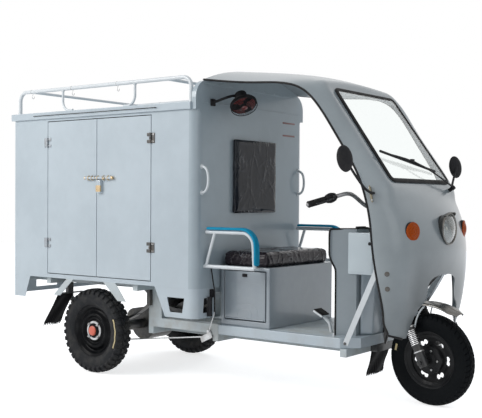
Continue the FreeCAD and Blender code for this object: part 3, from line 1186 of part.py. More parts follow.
# Roof rack: a bent rail each side, straps under it, and rails across.
roof_top = float(s.box_top + s.cap_height)
rack = []
rail_z = float(s.rack_top)
for side, sign in SIDES:
    y = float(sign * s.rack_half)
    rail = bar([Vector(-float(s.rack_rear), y, roof_top), Vector(-float(s.rack_rear), y, rail_z),
                Vector(float(s.rack_front), y, rail_z), Vector(float(s.rack_front), y, roof_top)],
               s.rack_tube, s.rack_bend)
    rack.append(rail)
    for x, lean in ((-float(s.rack_stay_rear), 1), (float(s.rack_stay_front), -1)):
        rack.append(bar([Vector(x, y, rail_z), Vector(x, y, roof_top + 8), Vector(x + lean * 90, y, roof_top + 8)],
                        8, 60))
for x in (-float(s.rack_cross), float(s.rack_front) - 190):
    rack.append(bar([Vector(x, -float(s.rack_half), rail_z), Vector(x, float(s.rack_half), rail_z)], 9, 0))
subpart(solid("rack", rack[0].fuse(rack[1:])), "roof_rack")


def local(x, y, z):
    """A point given from the rear axle and the ground, as seen from the steering point."""
    return point(x, y, z) - axis_foot


def along_axis(reach):
    return steering_axis * float(reach)


# Fork: stem, crown and two legs with their lower sliders, and the front axle.
axle_spot = local(s.wheelbase, 0, s.front_radius)
crown_top = along_axis(s.crown_low + s.crown_thick)
legs = []
for side, sign in SIDES:
    y = float(sign * s.leg_side)
    top = along_axis(s.crown_low) + Vector(8, y, 0)
    bottom = axle_spot + Vector(0, y, 0)
    down = (bottom - top).normalize()
    legs.append(Part.makeCylinder(float(s.leg_radius), (bottom - top).Length + float(s.crown_thick),
                                  top - down * float(s.crown_thick), down))
    legs.append(Part.makeCylinder(float(s.slider_radius), float(s.slider_length),
                                  bottom - down * float(s.slider_length - s.slider_radius), down))
crown = Part.makeBox(70, float(2 * s.leg_side + 60), float(s.crown_thick),
                     Vector(-35 + 4, -float(s.leg_side) - 30, 0))
crown.rotate(Vector(0, 0, 0), Vector(0, 1, 0), -float(s.rake))
crown.translate(along_axis(s.crown_low))
stem = Part.makeCylinder(float(s.stem_radius), float(s.stem_top - s.crown_low), along_axis(s.crown_low),
                         steering_axis)
spindle_length = float(2 * s.leg_side) + 66
spindle_rod = Part.makeCylinder(float(s.axle_radius), spindle_length,
                                axle_spot - Vector(0, spindle_length / 2, 0), Vector(0, 1, 0))
steered(solid("fork_set", stem.fuse([crown, spindle_rod, *legs]).removeSplitter()), "fork")

# Front mudguard: a short curved strip with turned-down sides, on two stays from the fork legs.
guard_out = float(s.fender_radius)
guard_in = guard_out - float(s.fender_wall)
half = float(s.fender_half)


def guard_sector(outer, inner, reach, low, high):
    """A length of ring round the front axle between two angles from straight ahead."""
    ring = Part.makeCylinder(outer, reach, Vector(0, -reach / 2, 0), Vector(0, 1, 0), 360)
    ring = ring.cut(Part.makeCylinder(inner, reach + 2, Vector(0, -reach / 2 - 1, 0), Vector(0, 1, 0), 360))
    angles = [math.radians(low + (high - low) * share) for share in (0, 0.5, 1)]
    middle = Vector(0, 0, 0)
    rays = [Vector(math.cos(angle), 0, math.sin(angle)) * (outer * 1.4) for angle in angles]
    wedge = Part.Face(Part.makePolygon([middle, *rays, middle])).extrude(Vector(0, reach + 4, 0))
    wedge.translate(Vector(0, -reach / 2 - 2, 0))
    return ring.common(wedge)


low_angle, high_angle = float(s.fender_front), float(s.fender_rear)
guard = guard_sector(guard_out, guard_out - float(s.fender_skirt), 2 * half, low_angle, high_angle)
guard = guard.cut(guard_sector(guard_in, guard_out - float(s.fender_skirt) - 1, 2 * half - 2 * float(s.fender_wall),
                               low_angle - 5, high_angle + 5))
stay_angle = math.radians(high_angle - 8)
for sign in (-1, 1):
    stay_top = Vector(math.cos(stay_angle) * guard_in, sign * (half - 2), math.sin(stay_angle) * guard_in - 20)
    stay_foot = Vector(-62, sign * (float(s.leg_side) - 14), 150)
    guard = guard.fuse(strip(stay_top, stay_foot, Vector(1, 0, 0), 16, 4))
guard.translate(axle_spot)
steered(solid("guard", guard), "front_fender")

# Handlebar: one bent tube clamped to the stem, with a switch block by each grip.
bar_top = along_axis(s.stem_top)
bar_points = []
grips = []
switches = []
for sign in (-1, 1):
    near = bar_top + Vector(2, sign * 70, 4)
    rise = bar_top + Vector(-15, sign * 196, 92)
    inner = bar_top + Vector(-96, sign * 262, 64)
    outer_end = bar_top + Vector(-140, sign * 400, 34)
    bar_points.append([near, rise, inner, outer_end])
    direction = (outer_end - inner).normalize()
    start = outer_end - direction * float(s.grip_length)
    grips.append(solid(f"grip_{'right' if sign < 0 else 'left'}", Part.makeCylinder(
        float(s.grip_radius), float(s.grip_length) + 3, start, direction).cut(
        Part.makeCylinder(float(s.bar_tube) + 0.05, float(s.grip_length), start, direction))))
    switches.append(Part.makeCylinder(24, 34, start - direction * 38, direction))
    clamp_spot = start - direction * 24
    lever = bar([clamp_spot + Vector(28, 0, 4), start + Vector(46, sign * 20, 2),
                 outer_end + Vector(40, -sign * 30, 2)], 5, 18)
    clamp = strip(clamp_spot, clamp_spot + Vector(30, 0, 4), Vector(0, 1, 0), 18, 12)
    switches += [lever, clamp]
whole_bar = [*reversed(bar_points[0]), *bar_points[1]]
stem_clamp = Part.makeCylinder(22, 36, bar_top - steering_axis * 26, steering_axis)
stem_bore = Part.makeCylinder(float(s.stem_radius), 60, bar_top - steering_axis * 60, steering_axis)
handlebar = bar(whole_bar, s.bar_tube, 32).fuse([*switches, stem_clamp]).cut(stem_bore)
steered(solid("handlebar_tube", handlebar), "handlebar")
steered(group("grip_pair", grips), "grips")


def turned(name, outline):
    """A ring turned about the y axis from (y, radius) corners."""
    ring = [Vector(0, float(y), float(radius)) for y, radius in outline]
    face = Part.Face(Part.makePolygon(ring + [ring[0]]))
    return face.revolve(Vector(0, 0, 0), Vector(0, 1, 0), 360)


def tyre_ring(radius, width, bead):
    """A tyre's section: flat tread, rounded shoulders, bulging walls, and a hollow inside."""
    half = width / 2
    wall = radius - bead
    outside = [(0.62, bead - 4), (0.98, bead + wall * 0.42), (1, radius - 24), (0.86, radius - 6), (0.4, radius)]
    inside = [(0.5, bead - 4), (0.78, bead + wall * 0.45), (0.55, radius - 22)]
    ring = [(-half * share, reach) for share, reach in outside]
    ring += [(half * share, reach) for share, reach in reversed(outside)]
    ring += [(half * share, reach) for share, reach in inside]
    return ring + [(-half * share, reach) for share, reach in reversed(inside)]


def rim_ring(bead, width, wall):
    """A rim's section, under the tyre's beads and across between its flanges."""
    half = width / 4
    low = bead - 22
    inside = [(half + wall, bead + 6), (half, bead + 6), (half, bead - 6), (half * 0.6, low + wall)]
    outside = [(half + wall, bead - 8), (half * 0.6 + wall, low)]
    ring = [(-across, reach) for across, reach in inside]
    ring += [(across, reach) for across, reach in reversed(inside)]
    ring += [(across, reach) for across, reach in outside]
    return ring + [(-across, reach) for across, reach in reversed(outside)]


# Rear wheels: a tyre on a pressed steel disc, with the hub, its studs and the coloured cap outside.
rim_wall = float(s.rim_wall)
bead = float(s.rim_radius - s.rim_gap)
for side, sign in SIDES:
    place = point(0, sign * s.rear_track / 2, s.rear_radius)
    tyre = turned(f"tyre_{side}", tyre_ring(float(s.rear_radius), float(s.rear_width), bead + 8))
    tyre.translate(place)
    subpart(solid(f"rear_tyre_set_{side}", tyre), f"rear_tyre_{side}")
    rim = turned(f"rim_{side}", rim_ring(bead, float(s.rear_width), rim_wall))
    disc = turned(f"disc_{side}", [(sign * 14, bead - 20), (sign * 20, bead - 45), (sign * 8, 62), (sign * 8, 12),
                                   (sign * 2, 12), (sign * 2, 66), (sign * 13, bead - 45), (sign * 7, bead - 20)])
    hub = Part.makeCylinder(float(s.hub_radius), 34, Vector(0, 0 if sign > 0 else -34, 0), Vector(0, 1, 0))
    cap = Part.makeCylinder(float(s.hub_cap_radius), 14, Vector(0, 32 if sign > 0 else -46, 0), Vector(0, 1, 0))
    studs = []
    for turn in range(4):
        angle = math.radians(45 + 90 * turn)
        spot = Vector(math.cos(angle) * 58, 6 if sign > 0 else -22, math.sin(angle) * 58)
        studs.append(Part.makeCylinder(7, 16, spot, Vector(0, 1, 0)))
    wheel = rim.fuse([disc, hub, cap, *studs])
    wheel.translate(place)
    subpart(solid(f"rear_rim_set_{side}", wheel), f"rear_rim_{side}")

# Front wheel: as the rear ones, with six oval holes near the rim and a brake drum in the middle.
front_bead = float(s.front_rim_radius - s.rim_gap)
tyre = turned("front_tyre_ring", tyre_ring(float(s.front_radius), float(s.front_width), front_bead + 8))
tyre.translate(axle_spot)
steered(solid("front_tyre_set", tyre), "front_tyre")
rim = turned("front_rim_ring", rim_ring(front_bead, float(s.front_width), rim_wall))
disc = turned("front_disc", [(3, front_bead - 20), (10, front_bead - 50), (4, 60), (4, 30), (-4, 30), (-4, 60),
                             (2, front_bead - 50), (-5, front_bead - 20)])
holes = []
for turn in range(6):
    hole = Part.makeCylinder(13, 60, Vector(front_bead - 44, -30, 0), Vector(0, 1, 0))
    twin = hole.copy()
    hole.rotate(Vector(0, 0, 0), Vector(0, 1, 0), 60 * turn - 7)
    twin.rotate(Vector(0, 0, 0), Vector(0, 1, 0), 60 * turn + 7)
    holes += [hole, twin]
disc = disc.cut(holes)
drum_width = float(s.drum_width)
drum = Part.makeCylinder(float(s.drum_radius), drum_width, Vector(0, -drum_width / 2, 0), Vector(0, 1, 0))
spindle_bore = Part.makeCylinder(float(s.axle_radius + s.fit), 200, Vector(0, -100, 0), Vector(0, 1, 0))
wheel = rim.fuse([disc, drum]).cut(spindle_bore)
wheel.translate(axle_spot)
steered(solid("front_rim_set", wheel), "front_rim")

doc.recompute()

for thing in doc.Objects:
    if "Invalid" in thing.State or "Error" in thing.State:
        raise SystemExit(f"{thing.Name} failed: {thing.State}")
broken = [piece.Label for piece in SUBPARTS if piece.Shape.isNull() or not piece.Shape.isValid()]
if broken:
    raise SystemExit(f"no valid shape: {broken}")

os.makedirs("parts", exist_ok=True)
for piece in SUBPARTS:
    piece.Shape.exportStep(f"parts/{piece.Label}.step")
    box = piece.Shape.BoundBox
    print(f"{piece.Label}: {len(piece.Shape.Solids)} solids, x {box.XMin:.0f}..{box.XMax:.0f}, "
          f"y {box.YMin:.0f}..{box.YMax:.0f}, z {box.ZMin:.0f}..{box.ZMax:.0f}")
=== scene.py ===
# %% [markdown]
# # An electric cargo tricycle
#
# The frame comes from CAD: every rigid part is already there at its true size and place, in metres,
# with +X forward, +Y to the rider's left and +Z up. This script adds what a drawing leaves out: soft
# goods, tyre treads, lamps, rubber, wear and light.

import math

import bmesh
import bpy
import numpy as np
from mathutils import Matrix, Vector


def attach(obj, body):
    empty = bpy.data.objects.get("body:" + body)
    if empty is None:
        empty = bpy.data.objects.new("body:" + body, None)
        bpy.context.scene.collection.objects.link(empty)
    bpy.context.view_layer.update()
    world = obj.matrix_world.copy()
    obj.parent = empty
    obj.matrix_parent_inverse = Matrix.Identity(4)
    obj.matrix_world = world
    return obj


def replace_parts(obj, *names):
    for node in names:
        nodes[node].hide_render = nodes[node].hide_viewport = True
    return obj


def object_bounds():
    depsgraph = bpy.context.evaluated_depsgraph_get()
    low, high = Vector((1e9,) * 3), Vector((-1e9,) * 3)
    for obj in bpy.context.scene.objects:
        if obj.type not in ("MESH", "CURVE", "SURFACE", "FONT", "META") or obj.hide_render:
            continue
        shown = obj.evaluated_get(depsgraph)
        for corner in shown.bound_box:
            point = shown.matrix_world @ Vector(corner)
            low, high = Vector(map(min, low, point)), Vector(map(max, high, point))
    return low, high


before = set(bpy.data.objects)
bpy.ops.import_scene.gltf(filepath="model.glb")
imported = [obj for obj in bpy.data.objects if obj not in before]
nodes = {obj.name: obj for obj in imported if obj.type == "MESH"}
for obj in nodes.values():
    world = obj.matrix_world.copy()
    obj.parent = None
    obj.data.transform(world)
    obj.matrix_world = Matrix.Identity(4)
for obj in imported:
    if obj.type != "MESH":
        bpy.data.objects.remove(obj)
CAD_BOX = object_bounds()
REAR = -0.791  # the rear axle's x; sizes below are measured forward from it
AHEAD, LEFT, UP = np.eye(3)
print("CAD nodes:", len(nodes), "box:", [round(v, 3) for corner in CAD_BOX for v in corner])

# %% [markdown]
# ## A small mesh kit
#
# A shape is a pair: an array of points and an array of four-cornered faces. Every shape below comes
# from a formula over a whole grid of points at once, and `piece` turns one or more shapes into an
# object that rides on a body of the frame.

# %% Grids of points become meshes


def grid(points, wrap_u=False, wrap_v=False):
    """A sheet over a grid of points (rows, columns, 3): each face joins a point with its neighbours
    in the next row and column, and wrapping closes the sheet into a tube or ring."""
    points = np.asarray(points, float)
    rows, columns = points.shape[:2]
    index = np.arange(rows * columns).reshape(rows, columns)
    if wrap_u:
        index = np.vstack([index, index[:1]])
    if wrap_v:
        index = np.hstack([index, index[:, :1]])
    faces = np.stack([index[:-1, :-1], index[1:, :-1], index[1:, 1:], index[:-1, 1:]], -1).reshape(-1, 4)
    return points.reshape(-1, 3), faces


def joined(shapes):
    """Several shapes as one: the faces of each count on from the points before it."""
    points, faces, count = [], [], 0
    for shape_points, shape_faces in shapes:
        points.append(shape_points)
        faces.append(shape_faces + count)
        count += len(shape_points)
    return np.vstack(points), np.vstack(faces)


def unit(vector):
    vector = np.asarray(vector, float)
    return vector / np.linalg.norm(vector, axis=-1, keepdims=True)


def at(x, y, z):
    """A point, or a whole line or grid of points, measured forward from the rear axle."""
    return np.stack(np.broadcast_arrays(x + REAR, y, z), -1).astype(float)


SLOT_OF = {}  # each finish's material slot, filled in beside the finishes


def piece(name, shapes, finish, body="chassis", angle=40, slot=None):
    """One object from shapes: quads with two equal corners in a row become triangles. Edges sharper
    than the angle stay sharp. The slot, the finish's own unless another is given, is worked out but not used."""
    points, faces = joined(shapes if isinstance(shapes, list) else [shapes])
    same = np.stack([faces[:, i] == faces[:, i - 1] for i in range(4)], 1)
    keep = ~same
    totals = keep.sum(1)
    faces, keep, totals = faces[totals > 2], keep[totals > 2], totals[totals > 2]
    mesh = bpy.data.meshes.new(name)
    mesh.vertices.add(len(points))
    mesh.vertices.foreach_set("co", points.astype(np.float32).ravel())
    mesh.loops.add(int(totals.sum()))
    mesh.loops.foreach_set("vertex_index", faces[keep].astype(np.int32))
    mesh.polygons.add(len(faces))
    mesh.polygons.foreach_set("loop_start", (np.cumsum(totals) - totals).astype(np.int32))
    mesh.polygons.foreach_set("loop_total", totals.astype(np.int32))
    mesh.update(calc_edges=True)
    mesh.validate()
    mesh.polygons.foreach_set("use_smooth", np.ones(len(mesh.polygons), bool))
    mesh.set_sharp_from_angle(angle=math.radians(angle))
    thing = bpy.data.objects.new(name, mesh)
    bpy.context.scene.collection.objects.link(thing)
    mesh.materials.append(finish)
    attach(thing, body)
    slot = slot or SLOT_OF.get(finish.name)
    return thing


def spline(points, count, closed=False):
    """A smooth line near control points: the average of four neighbours with cubic B-spline weights.
    An open line starts and ends on its first and last points."""
    points = np.asarray(points, float)
    if closed:
        points = np.vstack([points[-1:], points, points[:2]])
    else:
        first, last = 2 * points[0] - points[1], 2 * points[-1] - points[-2]
        points = np.vstack([first, points, last])
    spans = len(points) - 3
    t = np.linspace(0, spans, count, endpoint=not closed)
    k = np.minimum(t.astype(int), spans - 1)
    f = (t - k)[:, None]
    weights = [(1 - f) ** 3, 3 * f**3 - 6 * f**2 + 4, -3 * f**3 + 3 * f**2 + 3 * f + 1, f**3]
    return sum(w * points[k + i] for i, w in enumerate(weights)) / 6


def tube(path, radius, sides=12, closed=False, round_ends=True, flat=1.0, up=None):
    """A round bar along a path: rings of points at right angles to it. The radius may change along
    the path, and open ends close in a half dome. flat squeezes the ring along its second direction."""
    path = np.asarray(path, float)
    radius = np.broadcast_to(np.asarray(radius, float), len(path)).copy()
    if not closed and round_ends:
        start, end = unit(path[0] - path[1]), unit(path[-1] - path[-2])
        bow = np.linspace(0, np.pi / 2, 5)[1:]
        head = path[0] + start * (np.sin(bow) * radius[0])[:, None]
        tail = path[-1] + end * (np.sin(bow) * radius[-1])[:, None]
        radius = np.concatenate([(np.cos(bow) * radius[0])[::-1] + 1e-5, radius, np.cos(bow) * radius[-1] + 1e-5])
        path = np.vstack([head[::-1], path, tail])
    along = np.roll(path, -1, 0) - np.roll(path, 1, 0) if closed else np.gradient(path, axis=0)
    along = unit(along)
    if up is None:
        up = np.eye(3)[np.argmin(np.abs(along).max(0))]
    side = unit(np.cross(along, up))
    other = np.cross(along, side)
    turn = full_turn(sides)
    ring = side[:, None] * np.cos(turn)[None, :, None] + flat * other[:, None] * np.sin(turn)[None, :, None]
    points = path[:, None] + ring * radius[:, None, None]
    return grid(points, wrap_u=closed, wrap_v=True)


def turned(profile, centre, axis, sides=48, start=0.0, end=2 * np.pi):
    """A lathe shape: each (along, radius) point of the profile swept round the axis."""
    profile = np.asarray(profile, float)
    axis = unit(axis)
    side = unit(np.cross(axis, [0.13, 0.31, 0.94] if abs(axis[2]) < 0.9 else AHEAD))
    other = np.cross(axis, side)
    whole = abs(end - start - 2 * np.pi) < 1e-6
    turn = np.linspace(start, end, sides, endpoint=not whole)
    round_ring = side * np.cos(turn)[:, None] + other * np.sin(turn)[:, None]
    along, radius = profile.T[..., None, None]
    points = np.asarray(centre) + axis * along + round_ring * radius
    return grid(points, wrap_v=whole)


def rounded(low, high, radius, cells=4):
    """A block with rounded edges: the points of a gridded box, each drawn back to the inner box and
    pushed out again by the radius. Grid lines crowd into the edges and leave each face's middle flat."""
    low, high = np.asarray(low, float), np.asarray(high, float)
    half = (high - low) / 2
    radius = min(radius, half.min() * 0.999)
    edge = np.linspace(0, radius, cells)
    shapes = []
    for axis in range(3):
        u, v = (axis + 1) % 3, (axis + 2) % 3
        a, b = lattice(*(np.concatenate([edge - half[k], half[k] - edge[::-1]]) for k in (u, v)))
        for sign in (-1, 1):
            spots = np.zeros(a.shape + (3,))
            spots[..., u], spots[..., v], spots[..., axis] = a, b, sign * half[axis]
            inner = np.clip(spots, radius - half, half - radius)
            spots = inner + radius * unit(spots - inner + 1e-12) + (low + high) / 2
            shapes.append(grid(spots[::sign]))
    return joined(shapes)


def turned_about(shape, centre, matrix):
    """A shape turned about a point."""
    points, faces = shape
    return (points - centre) @ np.asarray(matrix).T + centre, faces


def lattice(first, second):
    """Two grids of values: the first varies from row to row, the second from column to column."""
    return np.meshgrid(first, second, indexing="ij")


def full_turn(count):
    """Angles once round a circle, the last one short of the first."""
    return np.linspace(0, 2 * np.pi, count, endpoint=False)


def on_side(rows, sign):
    """Points given for the left side, on either side."""
    return at(*(rows * [1, sign, 1]).T)


def mm(*rows):
    """Rows of sizes given in millimetres, in metres."""
    return np.array(rows, float) / 1000


print("mesh kit ready")

# %% [markdown]
# ## Materials
#
# Each effect that several materials share is a node group that puts out a colour, a mask or a normal:
# mottled paint with dust low down, pitted rubber, the ripple of a clear wrap. The shader stays in the
# material, and whatever is the same all over sits on the shader's own socket.

# %% Node helpers


class Nodes:
    """Short spellings for building a node tree."""

    def __init__(self, tree):
        self.tree = tree

    def add(self, kind, _inputs=None, **settings):
        node = self.tree.nodes.new(kind)
        for key, value in settings.items():
            setattr(node, key, value)
        for key, value in (_inputs or {}).items():
            if isinstance(value, bpy.types.NodeSocket):
                self.tree.links.new(value, node.inputs[key])
            else:
                node.inputs[key].default_value = value
        return node

    def noise(self, vector, scale, detail=3.0, rough=0.55, distortion=0.0):
        node = self.add("ShaderNodeTexNoise", {"Vector": vector, "Scale": scale, "Detail": detail,
                                               "Roughness": rough, "Distortion": distortion})
        return node.outputs["Fac"]

    def math(self, operation, a, b=0.5, clamp=False):
        return self.add("ShaderNodeMath", {0: a, 1: b}, operation=operation, use_clamp=clamp).outputs[0]

    def ramp(self, value, low, high, to_low=0.0, to_high=1.0):
        node = self.add("ShaderNodeMapRange", {"Value": value, "From Min": low, "From Max": high, "To Min": to_low,
                                               "To Max": to_high}, interpolation_type="SMOOTHSTEP")
        return node.outputs["Result"]

    def blend(self, amount, a, b, kind="MIX"):
        node = self.tree.nodes.new("ShaderNodeMix")
        node.data_type, node.blend_type = "RGBA", kind
        for socket, value in ((node.inputs[0], amount), (node.inputs[6], a), (node.inputs[7], b)):
            if isinstance(value, bpy.types.NodeSocket):
                self.tree.links.new(value, socket)
            else:
                socket.default_value = value
        return node.outputs[2]

    def bump(self, height, distance, strength=1.0, normal=None):
        inputs = {"Height": height, "Distance": distance, "Strength": strength}
        if normal is not None:
            inputs["Normal"] = normal
        return self.add("ShaderNodeBump", inputs).outputs["Normal"]


def group(name, inputs, outputs, build):
    """A node group: build gets the helper, the input sockets by name, and returns output sockets by name."""
    tree = bpy.data.node_groups.new(name, "ShaderNodeTree")
    kinds = {"value": "NodeSocketFloat", "colour": "NodeSocketColor", "vector": "NodeSocketVector"}
    for key, (kind, default) in inputs.items():
        socket = tree.interface.new_socket(key, in_out="INPUT", socket_type=kinds[kind])
        socket.default_value = default
    for key, kind in outputs.items():
        tree.interface.new_socket(key, in_out="OUTPUT", socket_type=kinds[kind])
    helper = Nodes(tree)
    source = tree.nodes.new("NodeGroupInput")
    result = build(helper, {key: source.outputs[key] for key in inputs})
    sink = tree.nodes.new("NodeGroupOutput")
    for key in outputs:
        tree.links.new(result[key], sink.inputs[key])
    return tree


def material(name, build, **settings):
    """A material with one Principled shader: build gets the helper and the object coordinates and
    returns sockets for the shader; the settings go on the shader itself."""
    made = bpy.data.materials.new(name)
    made.use_nodes = True
    helper = Nodes(made.node_tree)
    shader = made.node_tree.nodes["Principled BSDF"]
    place = helper.add("ShaderNodeTexCoord").outputs["Object"]
    for key, value in settings.items():
        shader.inputs[key.replace("_", " ")].default_value = value
    for key, socket in build(helper, place).items():
        made.node_tree.links.new(socket, shader.inputs[key])
    return made


def effect(helper, tree, **inputs):
    """A group node, its inputs set or linked, as a dict of its outputs."""
    node = helper.tree.nodes.new("ShaderNodeGroup")
    node.node_tree = tree
    for key, value in inputs.items():
        socket = node.inputs[key]
        if isinstance(value, bpy.types.NodeSocket):
            helper.tree.links.new(value, socket)
        else:
            socket.default_value = value
    return node.outputs


print("node helpers ready")

# %% [markdown]
# Paint: two sizes of noise shift its tone a little, fine grain gives the orange peel of a sprayed
# panel, and dust settles below the box, thicker towards the ground.

# %% Shared effects


def build_paint(n, given):
    broad = n.noise(given["Place"], 1.6, 2.0)
    small = n.noise(given["Place"], 14.0, 4.0)
    tone = n.math("ADD", n.math("MULTIPLY", broad, 0.7), n.math("MULTIPLY", small, 0.3))
    shift = n.ramp(tone, 0.35, 0.65)
    deeper, paler = n.blend(0.93, (0, 0, 0, 1), given["Colour"]), n.blend(0.03, given["Colour"], (1, 1, 1, 1))
    shaded = n.blend(shift, deeper, paler)
    height = n.add("ShaderNodeSeparateXYZ", {0: given["Place"]}).outputs["Z"]
    near_ground = n.ramp(height, 0.75, 0.05)
    cloud = n.ramp(n.noise(given["Place"], 9.0, 6.0, 0.65), 0.38, 0.72)
    dust = n.math("MULTIPLY", n.math("MULTIPLY", near_ground, cloud), given["Dust"])
    coloured = n.blend(dust, shaded, (0.36, 0.33, 0.28, 1))
    rough = n.ramp(n.math("ADD", dust, n.math("MULTIPLY", small, 0.25)), 0.0, 1.0, 0.28, 0.75)
    peel = n.bump(n.noise(given["Place"], 240.0, 2.0), 0.0004, 0.25)
    wave = n.bump(n.noise(given["Place"], 3.2, 1.0), 0.010, given["Ripple"], peel)
    return {"Colour": coloured, "Roughness": rough, "Normal": wave}


def build_rubber(n, given):
    grain = n.noise(given["Place"], 420.0, 3.0)
    patch = n.ramp(n.noise(given["Place"], 18.0, 5.0, 0.6), 0.40, 0.75)
    worn = n.math("MULTIPLY", patch, given["Wear"])
    coloured = n.blend(worn, given["Colour"], (0.10, 0.095, 0.085, 1))
    rough = n.ramp(grain, 0.3, 0.7, 0.55, 0.78)
    return {"Colour": coloured, "Roughness": rough, "Normal": n.bump(grain, 0.0006, 0.5)}


def build_wrap(n, given):
    """Clear film pulled over a pad: long creases where stretched, warped noise crosses its middle."""
    stretched = n.add("ShaderNodeMapping", {"Vector": given["Place"], "Scale": given["Stretch"]}).outputs[0]
    folds = n.noise(stretched, 6.0, 2.0, 0.5, 1.2)
    off_middle = n.math("ABSOLUTE", n.math("SUBTRACT", folds, 0.5))
    ridge = n.math("SUBTRACT", 1.0, n.math("MULTIPLY", off_middle, 22.0), True)
    where = n.ramp(n.noise(given["Place"], 9.0, 2.0), 0.45, 0.65)
    crease = n.math("MULTIPLY", ridge, where)
    slack = n.noise(stretched, 11.0, 2.0, 0.5, 0.6)
    height = n.math("ADD", n.math("MULTIPLY", crease, 0.5), n.math("MULTIPLY", slack, 0.6))
    cloudy = n.math("ADD", n.math("MULTIPLY", crease, 0.8), n.math("MULTIPLY", slack, 0.4))
    # Whitening along the creases: partly the film's own haze, partly painted highlight streaks.
    haze_and_sheen = n.math("MULTIPLY", n.ramp(cloudy, 0.35, 1.1), given["Haze"])
    coloured = n.blend(haze_and_sheen, given["Colour"], (0.45, 0.46, 0.49, 1))
    rough = n.ramp(slack, 0.3, 0.7, 0.10, 0.26)
    return {"Colour": coloured, "Roughness": rough, "Normal": n.bump(height, 0.004, 0.7)}


def build_metal(n, given):
    """Bare or plated metal: soft cloudy stains and scratches in no one direction."""
    cloud = n.noise(given["Place"], 22.0, 5.0, 0.6)
    scratch = n.noise(given["Place"], 160.0, 6.0, 0.75, 0.4)
    coloured = n.blend(n.ramp(cloud, 0.35, 0.75, 0.0, 0.35), given["Colour"], (0.16, 0.13, 0.10, 1))
    uneven = n.math("ADD", n.math("MULTIPLY", cloud, 0.6), n.math("MULTIPLY", scratch, 0.4))
    return {"Colour": coloured, "Mask": n.ramp(uneven, 0.3, 0.7), "Normal": n.bump(scratch, 0.0003, 0.35)}


COMMON = {"Place": ("vector", (0, 0, 0)), "Colour": ("colour", (0.5, 0.5, 0.5, 1))}
SURFACE = {"Colour": "colour", "Roughness": "value", "Normal": "vector"}
PAINT = group("paint", {**COMMON, "Dust": ("value", 0.5), "Ripple": ("value", 0.05)}, SURFACE, build_paint)
RUBBER = group("rubber", {**COMMON, "Wear": ("value", 0.4)}, SURFACE, build_rubber)
WRAP = group("clear_wrap", {**COMMON, "Haze": ("value", 0.4), "Stretch": ("vector", (1, 1, 1))}, SURFACE, build_wrap)
METAL = group("metal", COMMON, {"Colour": "colour", "Mask": "value", "Normal": "vector"}, build_metal)
print("shared effects:", [tree.name for tree in bpy.data.node_groups])

# %% [markdown]
# Each finish names its colour and how much of each effect it takes.

# %% The finishes


def surface(out):
    """The shader's sockets for an effect's three outputs."""
    return {"Base Color": out["Colour"], "Roughness": out["Roughness"], "Normal": out["Normal"]}


def painted(name, colour, dust=0.5, ripple=0.05, coat=0.35, **settings):
    def build(n, place):
        return surface(effect(n, PAINT, Place=place, Colour=(*colour, 1), Dust=dust, Ripple=ripple))
    return material(name, build, **{"Coat_Weight": coat, "Coat_Roughness": 0.12, **settings})


def rubbery(name, colour, wear=0.3, **settings):
    def build(n, place):
        return surface(effect(n, RUBBER, Place=place, Colour=(*colour, 1), Wear=wear))
    return material(name, build, **{"Specular_IOR_Level": 0.22, **settings})


def wrapped(name, colour, haze_and_sheen, stretch):
    def build(n, place):
        out = effect(n, WRAP, Place=place, Colour=(*colour, 1), Haze=haze_and_sheen, Stretch=stretch)
        return {**surface(out), "Coat Normal": out["Normal"]}
    return material(name, build, Coat_Weight=0.32, Coat_Roughness=0.06, Specular_IOR_Level=0.10)


def metallic(name, colour, smooth, dull, **settings):
    def build(n, place):
        out = effect(n, METAL, Place=place, Colour=(*colour, 1))
        rough = n.ramp(out["Mask"], 0.0, 1.0, smooth, dull)
        return {"Base Color": out["Colour"], "Roughness": rough, "Normal": out["Normal"]}
    return material(name, build, **{"Metallic": 1.0, **settings})


def glassy(name, colour, smooth, dull):
    """Clear plate: a faint film of dust is all that varies."""
    def build(n, place):
        film = n.noise(place, 12.0, 4.0)
        return {"Roughness": n.ramp(film, 0.3, 0.8, smooth, dull)}
    return material(name, build, Base_Color=(*colour, 1), Transmission_Weight=1.0, IOR=1.45)


box_paint = painted("box_paint", (0.50, 0.575, 0.625), dust=0.30, ripple=0.05)
door_paint = painted("door_paint", (0.515, 0.59, 0.64), dust=0.20, ripple=0.06)
chassis_paint = painted("chassis_paint", (0.52, 0.58, 0.60), dust=0.75, ripple=0.02, coat=0.1)


def moulded(name, colour):
    """Paint with painted shade: its tone deepens by up to half in three places of the moulding, the
    flanks below the screen, the middle above the wheel arch, and everything low down, where shade
    falls. The coat is thinner there and on the roof, which mirrors less than the nose."""
    def build(n, place):
        along = n.add("ShaderNodeSeparateXYZ", {0: place}).outputs
        sideways, height = n.math("ABSOLUTE", along["Y"]), along["Z"]
        # Painted shade: the flanks, the middle above the arch and the low parts are darkened where shade falls.
        flank_shade = n.math("MULTIPLY", n.ramp(sideways, 0.36, 0.44), n.ramp(height, 1.18, 0.98, 0.0, 0.22))
        arch = n.math("MULTIPLY", n.ramp(sideways, 0.40, 0.24), n.ramp(height, 0.98, 0.64, 0.0, 0.7))
        foot = n.ramp(height, 0.80, 0.45, 0.0, 0.4)
        deeper = n.math("ADD", flank_shade, n.math("ADD", arch, foot))
        tone = n.blend(deeper, (*colour, 1), (*[c * 0.48 for c in colour], 1))
        coat = n.math("MULTIPLY", n.ramp(deeper, 0.0, 1.0, 0.8, 0.12), n.ramp(height, 1.50, 1.72, 1.0, 0.45))
        return {**surface(effect(n, PAINT, Place=place, Colour=tone, Dust=0.12, Ripple=0.05)), "Coat Weight": coat}
    return material(name, build, Coat_Roughness=0.12, Specular_IOR_Level=0.35)


